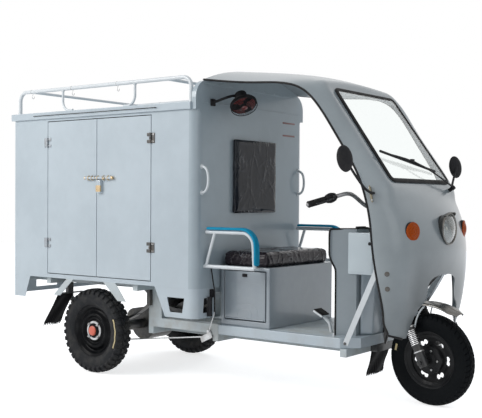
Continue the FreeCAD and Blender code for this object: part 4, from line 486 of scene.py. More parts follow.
moulding = moulded("moulding", (0.305, 0.350, 0.370))
# Painted shade: the box paint made darker for the leg shield, in the shade under the storage box.
leg_shaded_paint = painted("leg_shaded_paint", (0.33, 0.38, 0.41), dust=0.20, ripple=0.05)
rim_black = painted("rim_black", (0.002, 0.0025, 0.0035), dust=0.0, ripple=0.0, coat=0.06, Specular_IOR_Level=0.04)
# Painted shade: the box paint made darker for the front wall and the plate on it.
front_shaded_paint = painted("front_shaded_paint", (0.41, 0.485, 0.53), dust=0.30, ripple=0.05)
# Painted shade: the box paint made darker for the seat box, which stands in the roof's shade.
seat_shaded_paint = painted("seat_shaded_paint", (0.262, 0.305, 0.340), dust=0.20, ripple=0.10, coat=0.7)
shield_paint = painted("shield_paint", (0.56, 0.64, 0.68), dust=0.20, ripple=0.05)
tube_white = painted("tube_white", (0.72, 0.76, 0.78), dust=0.25, ripple=0.02, coat=0.4)
black_steel = painted("black_steel", (0.006, 0.007, 0.009), dust=0.22, ripple=0.01, coat=0.25, Specular_IOR_Level=0.3)
underside = painted("underside_black", (0.02, 0.02, 0.022), dust=0.8, ripple=0.02, coat=0.0)
black_plastic = rubbery("black_plastic", (0.014, 0.014, 0.016), wear=0.12)
rubber = rubbery("rubber", (0.010, 0.010, 0.011), wear=0.30)
tyre_rubber = rubbery("tyre_rubber", (0.009, 0.010, 0.012), wear=0.32)
# Painted shade: a darker copy of the tyre rubber for the front tyre, which lies in shade.
front_shaded_rubber = rubbery("front_shaded_rubber", (0.002, 0.003, 0.004), wear=0.02, Specular_IOR_Level=0.09)
foam = rubbery("blue_foam", (0.003, 0.27, 0.46), wear=0.02)
cushion_vinyl = wrapped("cushion_vinyl", (0.022, 0.017, 0.022), 0.30, (2.2, 1.0, 2.0))
back_vinyl = wrapped("back_vinyl", (0.016, 0.019, 0.026), 0.12, (1.0, 1.6, 0.8))
chrome = metallic("chrome", (0.72, 0.72, 0.73), 0.08, 0.28)
steel = metallic("zinc_steel", (0.50, 0.51, 0.52), 0.25, 0.50)
alloy = metallic("cast_alloy", (0.30, 0.30, 0.31), 0.35, 0.60)
brass = metallic("brass", (0.66, 0.50, 0.30), 0.18, 0.42)
plate_zinc = metallic("plate_zinc", (0.30, 0.27, 0.20), 0.30, 0.50)
lamp_chrome = metallic("lamp_chrome", (0.14, 0.15, 0.15), 0.15, 0.40)
cap_red = painted("cap_red", (0.72, 0.11, 0.05), dust=0.3, ripple=0.0)
stripe_red = painted("stripe_red", (0.16, 0.02, 0.02), dust=0.0, ripple=0.0)
trim_white = painted("trim_white", (0.78, 0.78, 0.74), dust=0.2, ripple=0.0)
window_glass = glassy("window_glass", (0.93, 0.97, 0.96), 0.0, 0.05)
lens_glass = glassy("lens_glass", (0.80, 0.82, 0.82), 0.02, 0.08)


def lens(name, colour, glow):
    """A coloured lens moulded with small ribs: bands across and up make the ribs' normal."""
    def build(n, place):
        along = n.add("ShaderNodeSeparateXYZ", {0: place}).outputs
        waves = [n.math("SINE", n.math("MULTIPLY", along[axis], 900.0)) for axis in "YZ"]
        ribs = n.math("MULTIPLY", *waves)
        tint = n.blend(n.ramp(ribs, -0.5, 0.8), (*[c * 0.6 for c in colour], 1), (*colour, 1))
        return {"Base Color": tint, "Normal": n.bump(ribs, 0.001, 0.6), "Emission Color": tint}
    return material(name, build, Roughness=0.30, Coat_Weight=0.05, Specular_IOR_Level=0.08, Emission_Strength=glow)


amber = lens("amber_lens", (0.54, 0.085, 0.001), 0.03)
red_glass = lens("red_lens", (0.60, 0.01, 0.01), 0.05)
mirror_face = metallic("mirror_face", (0.85, 0.86, 0.88), 0.01, 0.04)
pewter = metallic("pewter", (0.15, 0.15, 0.145), 0.16, 0.40)
hinge_grey = metallic("hinge_grey", (0.34, 0.37, 0.40), 0.35, 0.55)
hinge_dark = metallic("hinge_dark", (0.10, 0.10, 0.10), 0.30, 0.55)
flap_rubber = rubbery("flap_rubber", (0.004, 0.004, 0.005), wear=0.02, Specular_IOR_Level=0.10)
SLOT_OF.update({finish.name: slot for slot, finishes in {
    "amber": [amber], "black_metal": [rim_black, black_steel], "black_plastic": [black_plastic], "blue_foam": [foam],
    "body_paint": [box_paint, chassis_paint, front_shaded_paint, seat_shaded_paint, shield_paint], "bright_tube": [tube_white],
    "chrome": [chrome, lamp_chrome, pewter], "glass": [mirror_face], "lamp_glass": [lens_glass, trim_white],
    "moulding": [moulding], "red_lens": [cap_red, red_glass, stripe_red], "rubber": [rubber, flap_rubber],
    "steel": [steel, alloy, brass, hinge_dark, hinge_grey, plate_zinc], "tyre": [tyre_rubber, front_shaded_rubber],
    "vinyl": [cushion_vinyl, back_vinyl],
}.items() for finish in finishes})
print("finishes:", len(bpy.data.materials))

# %% [markdown]
# The CAD nodes take their finish by name. Each keeps its own mesh: welding and a fine bevel are
# modifiers, so a folded panel edge catches the light.

# %% Dress the CAD nodes
FINISH = {
    box_paint: ["tail_skirt", "corner_skirts", "box_left_wall", "box_right_wall", "box_rear_frame", "box_roof",
                "cab_floor", "box_floor"],
    door_paint: ["side_door_rear", "side_door_front", "rear_door_right", "rear_door_left"],
    # Painted shade: the front wall, seat box and leg shield take darker copies of the box paint.
    front_shaded_paint: ["box_front_wall"],
    seat_shaded_paint: ["seat_box", "seat_box_door"],
    leg_shaded_paint: ["leg_shield"],
    shield_paint: ["storage_box"],
    chassis_paint: ["chassis_frame", "arch_brackets"],
    moulding: ["cab_shell"],
    tube_white: ["armrest_frames", "grab_handles", "shell_stays", "roof_rack", "brake_pedal"],
    black_steel: ["front_frame", "fork"],
    rim_black: ["rear_rim_right", "rear_rim_left", "front_rim"],
    underside: ["leaf_springs", "rear_axle"],
    black_plastic: ["battery_pack", "charge_port", "wiper", "mirrors", "fan"],
    rubber: ["mud_flaps", "windscreen_gasket", "grips"],
    tyre_rubber: ["rear_tyre_right", "rear_tyre_left"],
    # The front tyre's darker rubber is painted shade.
    front_shaded_rubber: ["front_tyre"],
    foam: ["armrest_pads"],
    cushion_vinyl: ["seat_cushion"],
    back_vinyl: ["backrest_pad"],
    chrome: ["front_fender"],
    steel: ["brake_linkage", "handlebar"],
    lens_glass: ["headlamp"],
    window_glass: ["windscreen"],
    amber: ["direction_lamps"],
    red_glass: ["tail_lamps"],
}
BEVELS = {  # width: the nodes whose edges it softens
    0.0012: ["tail_skirt", "corner_skirts", "arch_brackets", "shell_stays"],
    0.0015: ["seat_box_door"],
    0.0020: ["brake_pedal"],
    0.0025: ["side_door_rear", "side_door_front", "rear_door_right", "rear_door_left"],
    0.0030: ["box_right_wall", "charge_port"],
    0.0040: ["box_left_wall", "box_front_wall", "box_rear_frame", "chassis_frame"],
    0.0060: ["box_roof", "seat_box", "cab_floor", "tail_lamps"],
    0.0100: ["storage_box"],
}
for finish, names in FINISH.items():
    for name in names:
        slots = nodes[name].data.materials
        slots.clear()
        slots.append(finish)
for width, name in ((width, name) for width, names in BEVELS.items() for name in names):
    weld = nodes[name].modifiers.new("weld", "WELD")
    weld.merge_threshold = 0.00002
    bevel = nodes[name].modifiers.new("edge", "BEVEL")
    bevel.width, bevel.segments, bevel.limit_method = width, 3, "ANGLE"
    bevel.angle_limit = math.radians(50)
    bevel.harden_normals = False
    nodes[name].modifiers.new("normals", "WEIGHTED_NORMAL").keep_sharp = True
missing = sorted(set(nodes) - {name for names in FINISH.values() for name in names})
print("dressed:", len(nodes) - len(missing), "left over:", missing)

# %% [markdown]
# ## Camera, light and floor
#
# The camera's place, angles and focal length were solved from the photograph's wheels, box edges,
# windscreen corners, mirrors and lamps.

# %% Camera and studio
WIDTH, HEIGHT = 482, 418
FOCAL_PX, CENTRE_PX = 904.11, (257.351, 213.431)
yaw, pitch, roll = (math.radians(angle) for angle in (36.3545, -0.8886, 0.3772))
look = Vector((-math.sin(yaw) * math.cos(pitch), math.cos(yaw) * math.cos(pitch), math.sin(pitch)))
level = Vector((math.cos(yaw), math.sin(yaw), 0))
right = math.cos(roll) * level + math.sin(roll) * level.cross(look)
over = right.cross(look)
turn = Matrix((right, over, -look)).transposed()
camera_data = bpy.data.cameras.new("camera")
camera_data.lens = FOCAL_PX * camera_data.sensor_width / WIDTH
camera_data.shift_x = (WIDTH / 2 - CENTRE_PX[0]) / WIDTH
camera_data.shift_y = (CENTRE_PX[1] - HEIGHT / 2) / WIDTH
camera = bpy.data.objects.new("camera", camera_data)
camera.matrix_world = Matrix.Translation(at(4.1145, -4.3717, 1.0769)) @ turn.to_4x4()
bpy.context.scene.collection.objects.link(camera)
bpy.context.scene.camera = camera
bpy.context.scene.view_settings.view_transform = "Standard"



def seen_rays(helper):
    """1 for what the camera sees, straight or through or off a surface, and 0 for light on its way."""
    rays = helper.add("ShaderNodeLightPath").outputs
    straight = helper.math("MAXIMUM", rays["Is Camera Ray"], rays["Is Transmission Ray"])
    return helper.math("MAXIMUM", straight, rays["Is Glossy Ray"])


world = bpy.data.worlds.new("studio")
bpy.context.scene.world = world
world.use_nodes = True
sky = Nodes(world.node_tree)
backdrop = world.node_tree.nodes["Background"]
direction = sky.add("ShaderNodeSeparateXYZ", {0: sky.add("ShaderNodeTexCoord").outputs["Generated"]}).outputs["Z"]
lift = sky.ramp(direction, -0.25, 0.75)
dome = sky.blend(lift, (0.13, 0.135, 0.14, 1), (0.50, 0.53, 0.57, 1))
world.node_tree.links.new(sky.blend(seen_rays(sky), dome, (1, 1, 1, 1)), backdrop.inputs["Color"])


def softbox(name, place, target, size, watts, colour=(1, 1, 1)):
    data = bpy.data.lights.new(name, "AREA")
    data.shape, data.size, data.size_y = "RECTANGLE", size[0], size[1]
    data.energy, data.color = watts, colour
    lamp = bpy.data.objects.new(name, data)
    lamp.location = place
    lamp.rotation_mode = "QUATERNION"
    lamp.rotation_quaternion = (Vector(target) - Vector(place)).to_track_quat("-Z", "Y")
    bpy.context.scene.collection.objects.link(lamp)
    lamp.visible_camera = False
    return lamp


softbox("key", (-3.2, -5.5, 4.2), (0, 0, 0.9), (4.0, 3.0), 250, (1.0, 0.985, 0.97))
softbox("fill", (5.5, -2.5, 2.6), (0.5, 0, 0.9), (3.0, 2.5), 16, (0.97, 0.99, 1.0))
softbox("back", (-2.5, 5.0, 4.5), (0, 0, 0.8), (4.0, 3.0), 90).visible_glossy = False

# A wide pale floor under the tyres. Seen directly it is as pale as the backdrop away from the shade.
lowest = CAD_BOX[0][2]
reach = 14.0
side_x, side_y = lattice([-reach, reach], [-reach, reach])
corners = np.stack([side_x, side_y, np.full((2, 2), lowest)], -1)
floor_material = bpy.data.materials.new("floor")
floor_material.use_nodes = True
floor_nodes = Nodes(floor_material.node_tree)
floor_shader = floor_material.node_tree.nodes["Principled BSDF"]
for key, value in {"Roughness": 0.9, "Specular IOR Level": 0.1, "Base Color": (0.80, 0.80, 0.80, 1),
                   "Emission Color": (1, 1, 1, 1)}.items():
    floor_shader.inputs[key].default_value = value
FLOOR_GLOW = 0.70
glow = floor_nodes.math("MULTIPLY", seen_rays(floor_nodes), FLOOR_GLOW)
floor_material.node_tree.links.new(glow, floor_shader.inputs["Emission Strength"])
floor_points, floor_faces = grid(corners)
floor_mesh = bpy.data.meshes.new("floor")
floor_mesh.from_pydata(floor_points.tolist(), [], floor_faces[:, ::-1].tolist())
floor_mesh.materials.append(floor_material)
floor = bpy.data.objects.new("floor", floor_mesh)
bpy.context.scene.collection.objects.link(floor)
print("camera lens", round(camera_data.lens, 2), "floor at", round(lowest, 4))

# %% [markdown]
# ## Wheels
#
# A tyre is its cross-section swept round the wheel's axis. The tread is a height added along the
# section's own normal: a pattern in two directions, how far across the tread and how far round.

# %% Tyres with real tread


def step_up(value, low, high):
    """0 below low, 1 above high, and an S-curve between."""
    share = np.clip((value - low) / (high - low), 0, 1)
    return share * share * (3 - 2 * share)


def wheel_frame(axis):
    """Three directions at right angles: the axle, forward, and up as near as the axle allows."""
    axle = unit(axis)
    ahead = unit(np.cross(axle, UP))
    return axle, ahead, np.cross(ahead, axle)


def tyre(name, node, centre, axis, radius, width, bead, tread, depth, finish, body, rounds=540, across=73):
    """Rings of points: the section (across, radius) is a smooth line from bead to bead, and each
    point moves out by depth times the tread pattern at its place across and round the wheel."""
    half, wall = width / 2, radius - bead
    side = [(0.60, -0.02), (0.80, 0.04), (0.98, 0.30), (1.02, 0.52), (0.97, 0.74), (0.86, 0.90), (0.55, 0.985),
            (0.20, 1.0)]
    outline = [(-a, b) for a, b in side] + [(a, b) for a, b in side[::-1]]
    section = spline(np.array(outline) * [half, wall - depth] + [0, bead], across)
    normal = np.gradient(section, axis=0)
    normal = unit(np.stack([-normal[:, 1], normal[:, 0]], -1))
    around = full_turn(rounds)
    crossing, angle = lattice(section[:, 0] / half, around)
    rise = (section[:, 1] - bead)[:, None] / wall
    height = depth * tread(crossing, angle, rise)
    spots = section[:, None] + normal[:, None] * height[..., None]
    axle, ahead, top = wheel_frame(axis)
    ring = ahead * np.cos(around)[:, None] + top * np.sin(around)[:, None]
    points = np.asarray(centre) + axle * spots[..., :1] + ring[None] * spots[..., 1:]
    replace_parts(piece(name, grid(points, wrap_v=True), finish, body, 32), node)


def lug_tread(crossing, angle, rise):
    """Bold shoulder lugs over a block centre: square waves round the wheel, set half a lug apart on
    the two shoulders, and slanting grooves between the middle blocks."""
    lugs = 36
    shift = np.where(crossing > 0, 0.0, np.pi)
    wave = np.sin(lugs * angle + shift + 1.1 * np.abs(crossing))
    shoulder = step_up(wave, -0.42, -0.05) * step_up(np.abs(crossing), 0.50, 0.56) * step_up(rise, 0.60, 0.70)
    middle = np.sin(lugs * angle + shift + 2.4 * crossing + 1.2)
    inside = step_up(np.abs(crossing), 0.05, 0.09) * (1 - step_up(np.abs(crossing), 0.42, 0.47))
    blocks = step_up(middle, -0.62, -0.25) * inside
    ribs = 0.10 * step_up(np.sin(rise * 70), 0.6, 0.9) * (1 - step_up(rise, 0.52, 0.58))
    return np.maximum(np.maximum(shoulder, blocks), ribs)


def road_tread(crossing, angle, rise):
    """A road tread: four ribs parted by grooves, with slanting cuts that run out over the shoulders."""
    near_middle, near_shoulder = (step_up(np.abs(np.abs(crossing) - line), 0.02, 0.05) for line in (0.22, 0.55))
    cuts = step_up(np.abs(np.sin(24 * angle + 4.0 * np.abs(crossing))), 0.14, 0.30)
    shoulder_cut = np.where(np.abs(crossing) > 0.55, cuts, np.maximum(cuts, 0.35))
    tread = np.minimum(near_middle, near_shoulder) * shoulder_cut * step_up(rise, 0.74, 0.80)
    rings = 0.10 * step_up(np.sin(rise * 90), 0.5, 0.9) * (1 - step_up(rise, 0.60, 0.66))
    return np.maximum(tread, rings)


SIDE = {"right": -1, "left": 1}
HALF_TRACK, REAR_RADIUS = 0.453, 0.260
REAR_CENTRE = {side: at(0, HALF_TRACK * sign, REAR_RADIUS) for side, sign in SIDE.items()}
FRONT_CENTRE, FRONT_AXLE = np.array([1.25391, -0.00163, 0.24196]), np.array([0.108991, 0.992966, 0.046264])
for side in SIDE:
    tyre(f"tyre_rear_{side}", f"rear_tyre_{side}", REAR_CENTRE[side], LEFT, radius=REAR_RADIUS, width=0.100,
         bead=0.160, tread=lug_tread, depth=0.009, finish=tyre_rubber, body=f"rear_wheel_{side}")
tyre("tyre_front", "front_tyre", FRONT_CENTRE, FRONT_AXLE, radius=0.242, width=0.080, bead=0.146, tread=road_tread,
     depth=0.005, finish=front_shaded_rubber, body="front_wheel")
print("tyres ready")

# %% [markdown]
# The rear rims are pressed steel: one lathe profile from the rolled lip in to the hub, a second for
# the well under the tyre, then nuts on a ring and the coloured cap.

# %% Rims


def nut(centre, axis, radius, height, turn=0.3):
    """A six-sided nut with a domed end."""
    shares = [(0, 1), (0.72, 1), (0.86, 0.93), (1, 0.62), (1.35, 0.5), (1.4, 0)]
    profile = np.array(shares) * [height, radius]
    return turned(profile, centre, axis, sides=6, start=turn, end=turn + 2 * np.pi)


def ring_of(count, centre, axis, radius, start=0.0):
    """Points evenly round a circle about an axis."""
    _, ahead, top = wheel_frame(axis)
    angle = start + full_turn(count)
    return np.asarray(centre) + radius * (ahead * np.cos(angle)[:, None] + top * np.sin(angle)[:, None])


RIM_LINE = mm((-26, 150), (-29, 158), (-32, 163), (-30, 166), (-26, 165), (-23, 158), (-20, 149), (-14, 140), (14, 140),
              (20, 149), (23, 158), (26, 165), (30, 166), (33, 163), (30, 158), (26, 148), (22, 142), (10, 134),
              (6, 127))
DISC_LINE = mm((6, 128), (8, 122), (16, 113), (24, 107), (28, 100), (27, 93), (21, 87), (14, 83), (12, 76), (15, 70),
               (22, 66), (24, 60), (24, 48), (26, 44), (34, 41), (36, 37), (36, 30))
CAP_LINE = mm((30, 31), (40, 30.5), (43.5, 28), (45.5, 22), (46, 10), (46, 0))
for side, sign in SIDE.items():
    axis, centre = sign * LEFT, REAR_CENTRE[side]
    lines = ((RIM_LINE, 60), (DISC_LINE, 70), (DISC_LINE[::-1] - [0.004, 0.0], 40))
    shapes = [turned(spline(line, count), centre, axis, 96) for line, count in lines]
    rim = piece(f"rim_rear_{side}", shapes, rim_black, f"rear_wheel_{side}", 45)
    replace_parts(rim, f"rear_rim_{side}")
    nuts = [nut(spot, axis, 0.0095, 0.012) for spot in ring_of(4, centre + axis * 0.023, axis, 0.052, 0.785)]
    piece(f"rim_nuts_{side}", nuts + [turned(mm((23.5, 60), (26.2, 58), (26.2, 46), (24, 44)), centre, axis, 48)],
          steel, f"rear_wheel_{side}", 30)
    piece(f"hub_cap_{side}", turned(spline(CAP_LINE, 24), centre, axis, 40), cap_red, f"rear_wheel_{side}")

# A dab of yellow paint on the right rear sidewall, and a small mark on the front tyre.
dab_paint = painted("dab_yellow", (0.62, 0.50, 0.24), dust=0.6, ripple=0.0, coat=0.0)
angle, radius = lattice(np.linspace(-0.42, 0.42, 24), np.linspace(0.206, 0.216, 4))
radius = radius + 0.0012 * np.sin(angle * 23)
dab = at(radius * np.cos(angle), -HALF_TRACK - 0.0525, REAR_RADIUS + radius * np.sin(angle))
piece("tyre_dab", grid(dab), dab_paint, "rear_wheel_right", 60)
angle, radius = (values[..., None] for values in lattice(np.linspace(2.80, 2.98, 12), np.linspace(0.196, 0.208, 5)))
axle, ahead, top = wheel_frame(FRONT_AXLE)
mark = FRONT_CENTRE - axle * 0.0415 + radius * (ahead * np.cos(angle) + top * np.sin(angle))
piece("tyre_mark", grid(mark), dab_paint, "front_wheel", 60)

# The front wheel keeps its pierced CAD disc; it gains rolled lips, a finned drum edge and axle nuts.
LIP_LINE = mm((20, 140), (24, 146), (28, 150), (30, 152.5), (33, 151.5), (33, 148), (29, 142), (24, 137))
HUB_LINE = mm((30, 71), (31.5, 66), (31.5, 40), (36, 36), (40, 26), (40, 14))
front_lips = [turned(spline(LIP_LINE * [s, 1], 30), FRONT_CENTRE, FRONT_AXLE, 96) for s in (-1, 1)]
piece("front_lips", front_lips, rim_black, "front_wheel")
fins = np.column_stack([np.repeat(np.linspace(-0.030, 0.030, 12), 2), np.tile([0.0712, 0.0742, 0.0742, 0.0712], 6)])
hub_rings = [turned(HUB_LINE * [s, 1], FRONT_CENTRE, FRONT_AXLE, 56) for s in (-1, 1)]
piece("front_drum_fins", [turned(fins, FRONT_CENTRE, FRONT_AXLE, 64), *hub_rings], rim_black, "front_wheel", 30)
bolt_ring = ring_of(5, FRONT_CENTRE - FRONT_AXLE * 0.031, FRONT_AXLE, 0.052)
brake_bolts = [nut(spot, -FRONT_AXLE, 0.006, 0.006) for spot in bolt_ring]
piece("front_hub_bolts", brake_bolts, steel, "front_wheel", 30)
print("rims ready")

# %% [markdown]
# ## The cab moulding
#
# The moulding's cross-sections start from the drawing's. A smooth curve runs through them, so the
# roof, screen frame and nose flow into each other. Low on the nose they are a little fuller than the
# drawing's, with wider and rounder tips, as the photograph shows.

# %% A smooth skin through the sections
SECTIONS = np.array([
    # edge x, edge z, crown x, crown z, half width, shoulder y, shoulder drop
    (864, 1747, 864, 1835, 470, 262, 26),
    (1200, 1707, 1215, 1796, 470, 270, 28),
    (1435, 1684, 1475, 1748, 468, 305, 22),
    (1548, 1631, 1627, 1685, 460, 330, 16),
    (1725, 1400, 1792, 1448, 450, 335, 12),
    (1840, 1219, 1917, 1274, 450, 340, 12),
    (1889, 1094, 2010, 1130, 450, 345, 26),
    (1920, 950, 2106, 962, 450, 335, 45),
    (1930, 850, 2132, 850, 449, 335, 50),
    (1961, 646, 2103, 640, 436, 338, 29),
    (1976, 500, 2083, 494, 414, 316, 25),
    (1980, 452, 2071, 447, 406, 301, 21),
    (1990, 417, 2063, 412, 393, 282, 17),
    (2010, 397, 2059, 393, 367, 256, 12),
    (2036, 388, 2058, 386, 331, 230, 7),
]) / 1000


def through(rows, count):
    """A natural cubic spline through every row, stepped evenly along the crown's length."""
    rows = np.asarray(rows, float)
    knots = np.concatenate([[0], np.cumsum(np.linalg.norm(np.diff(rows[:, 2:4], axis=0), axis=1))])
    gap, size = np.diff(knots), len(rows)
    system, known = np.eye(size), np.zeros_like(rows)
    inner = np.arange(1, size - 1)
    system[inner, inner - 1], system[inner, inner + 1] = gap[:-1], gap[1:]
    system[inner, inner] = 2 * (gap[:-1] + gap[1:])
    slope = np.diff(rows, axis=0) / gap[:, None]
    known[1:-1] = 6 * np.diff(slope, axis=0)
    curve = np.linalg.solve(system, known)
    t = np.linspace(0, knots[-1], count)
    k = np.clip(np.searchsorted(knots, t, side="right") - 1, 0, size - 2)
    h, a, b = gap[k][:, None], (knots[k + 1] - t)[:, None], (t - knots[k])[:, None]
    bent = (curve[k] * a**3 + curve[k + 1] * b**3) / (6 * h)
    return bent + (rows[k] / h - curve[k] * h / 6) * a + (rows[k + 1] / h - curve[k + 1] * h / 6) * b


def moulding_points(count=150, crown_cells=56, side_cells=26, grow=0.0):
    """Every section is a flat arc over the crown and a rounder arc down each side that leaves it in
    the same direction: centre, radius and angles of both follow from the section's seven sizes."""
    edge_x, edge_z, crown_x, crown_z, half, shoulder, drop = through(SECTIONS, count).T
    depth = np.hypot(crown_x - edge_x, crown_z - edge_z)
    out = np.stack([(crown_x - edge_x) / depth, np.zeros(count), (crown_z - edge_z) / depth], -1)
    crown_radius = (shoulder**2 + drop**2) / (2 * drop)
    lean = np.arcsin(shoulder / crown_radius)
    away = np.stack([half - shoulder, drop - depth])
    inward = np.stack([-np.sin(lean), -np.cos(lean)])
    side_radius = (away**2).sum(0) / (2 * (away * inward).sum(0))
    hub_y, hub_h = shoulder + inward[0] * side_radius, depth - drop + inward[1] * side_radius
    first, last = np.pi / 2 - lean, np.arctan2(-hub_h, half - hub_y)
    share = np.linspace(0, 1, side_cells)[None]
    angle = last[:, None] + (first - last)[:, None] * share
    side_y = hub_y[:, None] + (side_radius + grow)[:, None] * np.cos(angle)
    side_h = hub_h[:, None] + (side_radius + grow)[:, None] * np.sin(angle)
    swing = lean[:, None] * np.linspace(1, -1, crown_cells)[None]
    crown_y = (crown_radius + grow)[:, None] * np.sin(swing)
    crown_h = (depth - crown_radius)[:, None] + (crown_radius + grow)[:, None] * np.cos(swing)
    across = np.hstack([side_y, crown_y[:, 1:-1], -side_y[:, ::-1]])
    height = np.hstack([side_h, crown_h[:, 1:-1], side_h[:, ::-1]])
    origin = np.stack([edge_x + REAR, np.zeros(count), edge_z], -1)
    points = origin[:, None] + out[:, None] * height[..., None]
    points[..., 1] += across
    return points


def round_corners(corners, radius, steps=8):
    """A ring with its corners rounded: at each one an arc from edge to edge, as a Bezier curve whose
    handles make it nearly circular."""
    corners = np.asarray(corners, float)
    radius = np.broadcast_to(radius, len(corners))[:, None]
    before, after = unit(np.roll(corners, 1, 0) - corners), unit(np.roll(corners, -1, 0) - corners)
    half_angle = np.arccos(np.clip((before * after).sum(-1), -1, 1))[:, None] / 2
    setback = radius / np.tan(half_angle)
    start, end = corners + before * setback, corners + after * setback
    t = np.linspace(0, 1, steps)[None, :, None]
    ring = (1 - t) ** 2 * start[:, None] + 2 * t * (1 - t) * corners[:, None] + t**2 * end[:, None]
    return ring.reshape(-1, corners.shape[1])


def prism(ring, shift):
    """A closed block between a ring of points and the same ring moved by shift, capped by fans."""
    middle = ring.mean(0)
    shift = np.asarray(shift, float)
    fan = np.broadcast_to(middle, ring.shape)
    return grid(np.stack([fan, ring, ring + shift, fan + shift]), wrap_v=True)


def bare_object(name, shape):
    """A closed shape that rides on nothing, for cutting with: doubled points merged, faces outwards."""
    points, faces = shape
    mesh = bpy.data.meshes.new(name)
    mesh.from_pydata(points.tolist(), [], faces.tolist())
    mesh.validate()
    work = bmesh.new()
    work.from_mesh(mesh)
    bmesh.ops.remove_doubles(work, verts=work.verts, dist=1e-5)
    bmesh.ops.recalc_face_normals(work, faces=work.faces)
    work.to_mesh(mesh)
    work.free()
    thing = bpy.data.objects.new(name, mesh)
    bpy.context.scene.collection.objects.link(thing)
    return thing


def baked(thing):
    """Keeps the outcome of an object's modifiers as its mesh."""
    bpy.context.view_layer.update()
    evaluated = thing.evaluated_get(bpy.context.evaluated_depsgraph_get())
    mesh = bpy.data.meshes.new_from_object(evaluated)
    thing.modifiers.clear()
    thing.data = mesh
    return thing


def thickened(thing, thickness, offset=0.0):
    """A sheet's wall: half to each side, or all to one side for an offset of 1 or -1."""
    wall = thing.modifiers.new("wall", "SOLIDIFY")
    wall.thickness, wall.offset = thickness, offset
    return thing


def cut_from(thing, cutters):
    for cutter in cutters:
        knife = thing.modifiers.new("cut", "BOOLEAN")
        knife.operation, knife.solver, knife.object = "DIFFERENCE", "EXACT", cutter
    baked(thing)
    for cutter in cutters:
        bpy.data.objects.remove(cutter)


SCREEN_LOW, SCREEN_TOP = at(1.977, 0, 1.164), at(1.618, 0, 1.661)
SCREEN_UP = unit(SCREEN_TOP - SCREEN_LOW)
SCREEN_OUT = np.array([SCREEN_UP[2], 0, -SCREEN_UP[0]])
SCREEN_LENGTH = np.linalg.norm(SCREEN_TOP - SCREEN_LOW)
SCREEN_HALF = (0.344, 0.328)  # half its width at its foot and at its top


def screen_ring(inset, height, radius, steps=8):
    """The windscreen's outline in space: a rounded trapezium on the screen's own plane."""
    low, top, end = SCREEN_HALF[0] - inset, SCREEN_HALF[1] - inset, SCREEN_LENGTH - inset
    flat = round_corners([(-low, inset), (low, inset), (top, end), (-top, end)], radius, steps)
    return SCREEN_LOW + SCREEN_UP * flat[:, 1:] + LEFT * flat[:, :1] + SCREEN_OUT * height


def flattened(points):
    """Round the windscreen the skin lies close to the screen's own plane, and leaves it smoothly
    beyond the rubber: each point moves along the plane's normal by a share that falls with distance."""
    offset = points - SCREEN_LOW
    out, up = offset @ SCREEN_OUT, offset @ SCREEN_UP
    half = SCREEN_HALF[0] - 0.016 * up / SCREEN_LENGTH
    away = np.hypot(np.maximum(np.abs(points[..., 1]) - half, 0), np.maximum(np.maximum(-up, up - SCREEN_LENGTH), 0))
    share = 1 - step_up(away, 0.010, 0.105)
    return points + SCREEN_OUT * ((0.003 - out) * share)[..., None]


skin_points = flattened(moulding_points())
skin = piece("cab_moulding", grid(skin_points), moulding, angle=60)
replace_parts(skin, "cab_shell")
down, across = skin_points[1, 80] - skin_points[0, 80], skin_points[0, 81] - skin_points[0, 80]
thickened(skin, 0.006, -1 if np.cross(down, across)[2] > 0 else 1)
opening = bare_object("screen_cutter", prism(screen_ring(0.012, -0.12, 0.033), SCREEN_OUT * 0.24))

# The wheel arch: a flared line up each side, closed by a flattened half ellipse.
ARCH_HALF, ARCH_SPRING, ARCH_RISE = 0.160, 0.632, 0.061
arch_side = spline([(0.335, 0.330), (0.290, 0.386), (0.272, 0.440), (0.252, 0.505), (0.222, 0.536), (0.182, 0.556),
                    (0.164, 0.586), (ARCH_HALF, ARCH_SPRING)], 34)
arc = np.linspace(0, np.pi, 25)
arch_top = np.column_stack([ARCH_HALF * np.sign(np.cos(arc)) * np.abs(np.cos(arc)) ** 0.75,
                            ARCH_SPRING + ARCH_RISE * np.sin(arc) ** 0.8])[1:-1]
arch = np.vstack([arch_side, arch_top, (arch_side * [-1, 1])[::-1]])
arch_cut = bare_object("arch_cutter", prism(at(2.40, *arch.T), (-0.62, 0, 0)))
cut_from(skin, [opening, arch_cut])
skin.data.set_sharp_from_angle(angle=math.radians(35))
print("moulding faces:", len(skin.data.polygons))

# A riveted plate closes the gap between the box's front wall and the moulding's rear edge.
head_ring = np.vstack([moulding_points(grow=-0.004)[0][::-1], at(0, 0.466, 1.722), at(0, -0.466, 1.722)])
head_ring[:, 0] = 0.8640 + REAR
head_rivets = [turned(mm((0, 6.2), (1.6, 5.6), (2.8, 3), (3.1, 0)), at(0.8672, y, 1.733), AHEAD, 14)
               for y in np.linspace(-0.42, 0.42, 9)]
piece("head_plate", [prism(head_ring, (0.0035, 0, 0))] + head_rivets, front_shaded_paint)

# %% [markdown]
# Black rubber closes the moulding's side edges, and a thicker frame holds the windscreen. Both are
# bars that follow the moulding's own lines.

# %% Seals and gasket
edge_rows = through(SECTIONS, 140)
seals = []
for sign in (-1, 1):
    line = at(edge_rows[:, 0], sign * (edge_rows[:, 4] - 0.001), edge_rows[:, 1] - 0.001)
    seals.append(tube(line, 0.0058, 10))
piece("side_seals", seals, rubber, angle=60)
gasket_bar = tube(screen_ring(0.0125, 0.007, 0.034, 14), 0.0125, 14, closed=True, flat=0.62, up=SCREEN_OUT)
gasket = piece("screen_gasket", gasket_bar, rubber, angle=60)
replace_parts(gasket, "windscreen_gasket")
print("seals ready")

# %% [markdown]
# ## Soft parts
#
# A pad starts a little smaller than its place, made of even cells. Air pressure then swells its cloth
# for twenty frames, and no point may move further than a cap. Creases of the clear film that still
# covers it come after: each crease is a narrow ridge along a line, fading out at its ends.

# %% Cloth pass and creases


def vertex_rows(mesh, key):
    """One vector of every vertex of a mesh, such as its place or its normal, as rows."""
    values = np.empty(len(mesh.vertices) * 3, np.float32)
    mesh.vertices.foreach_get(key, values)
    return values.reshape(-1, 3)


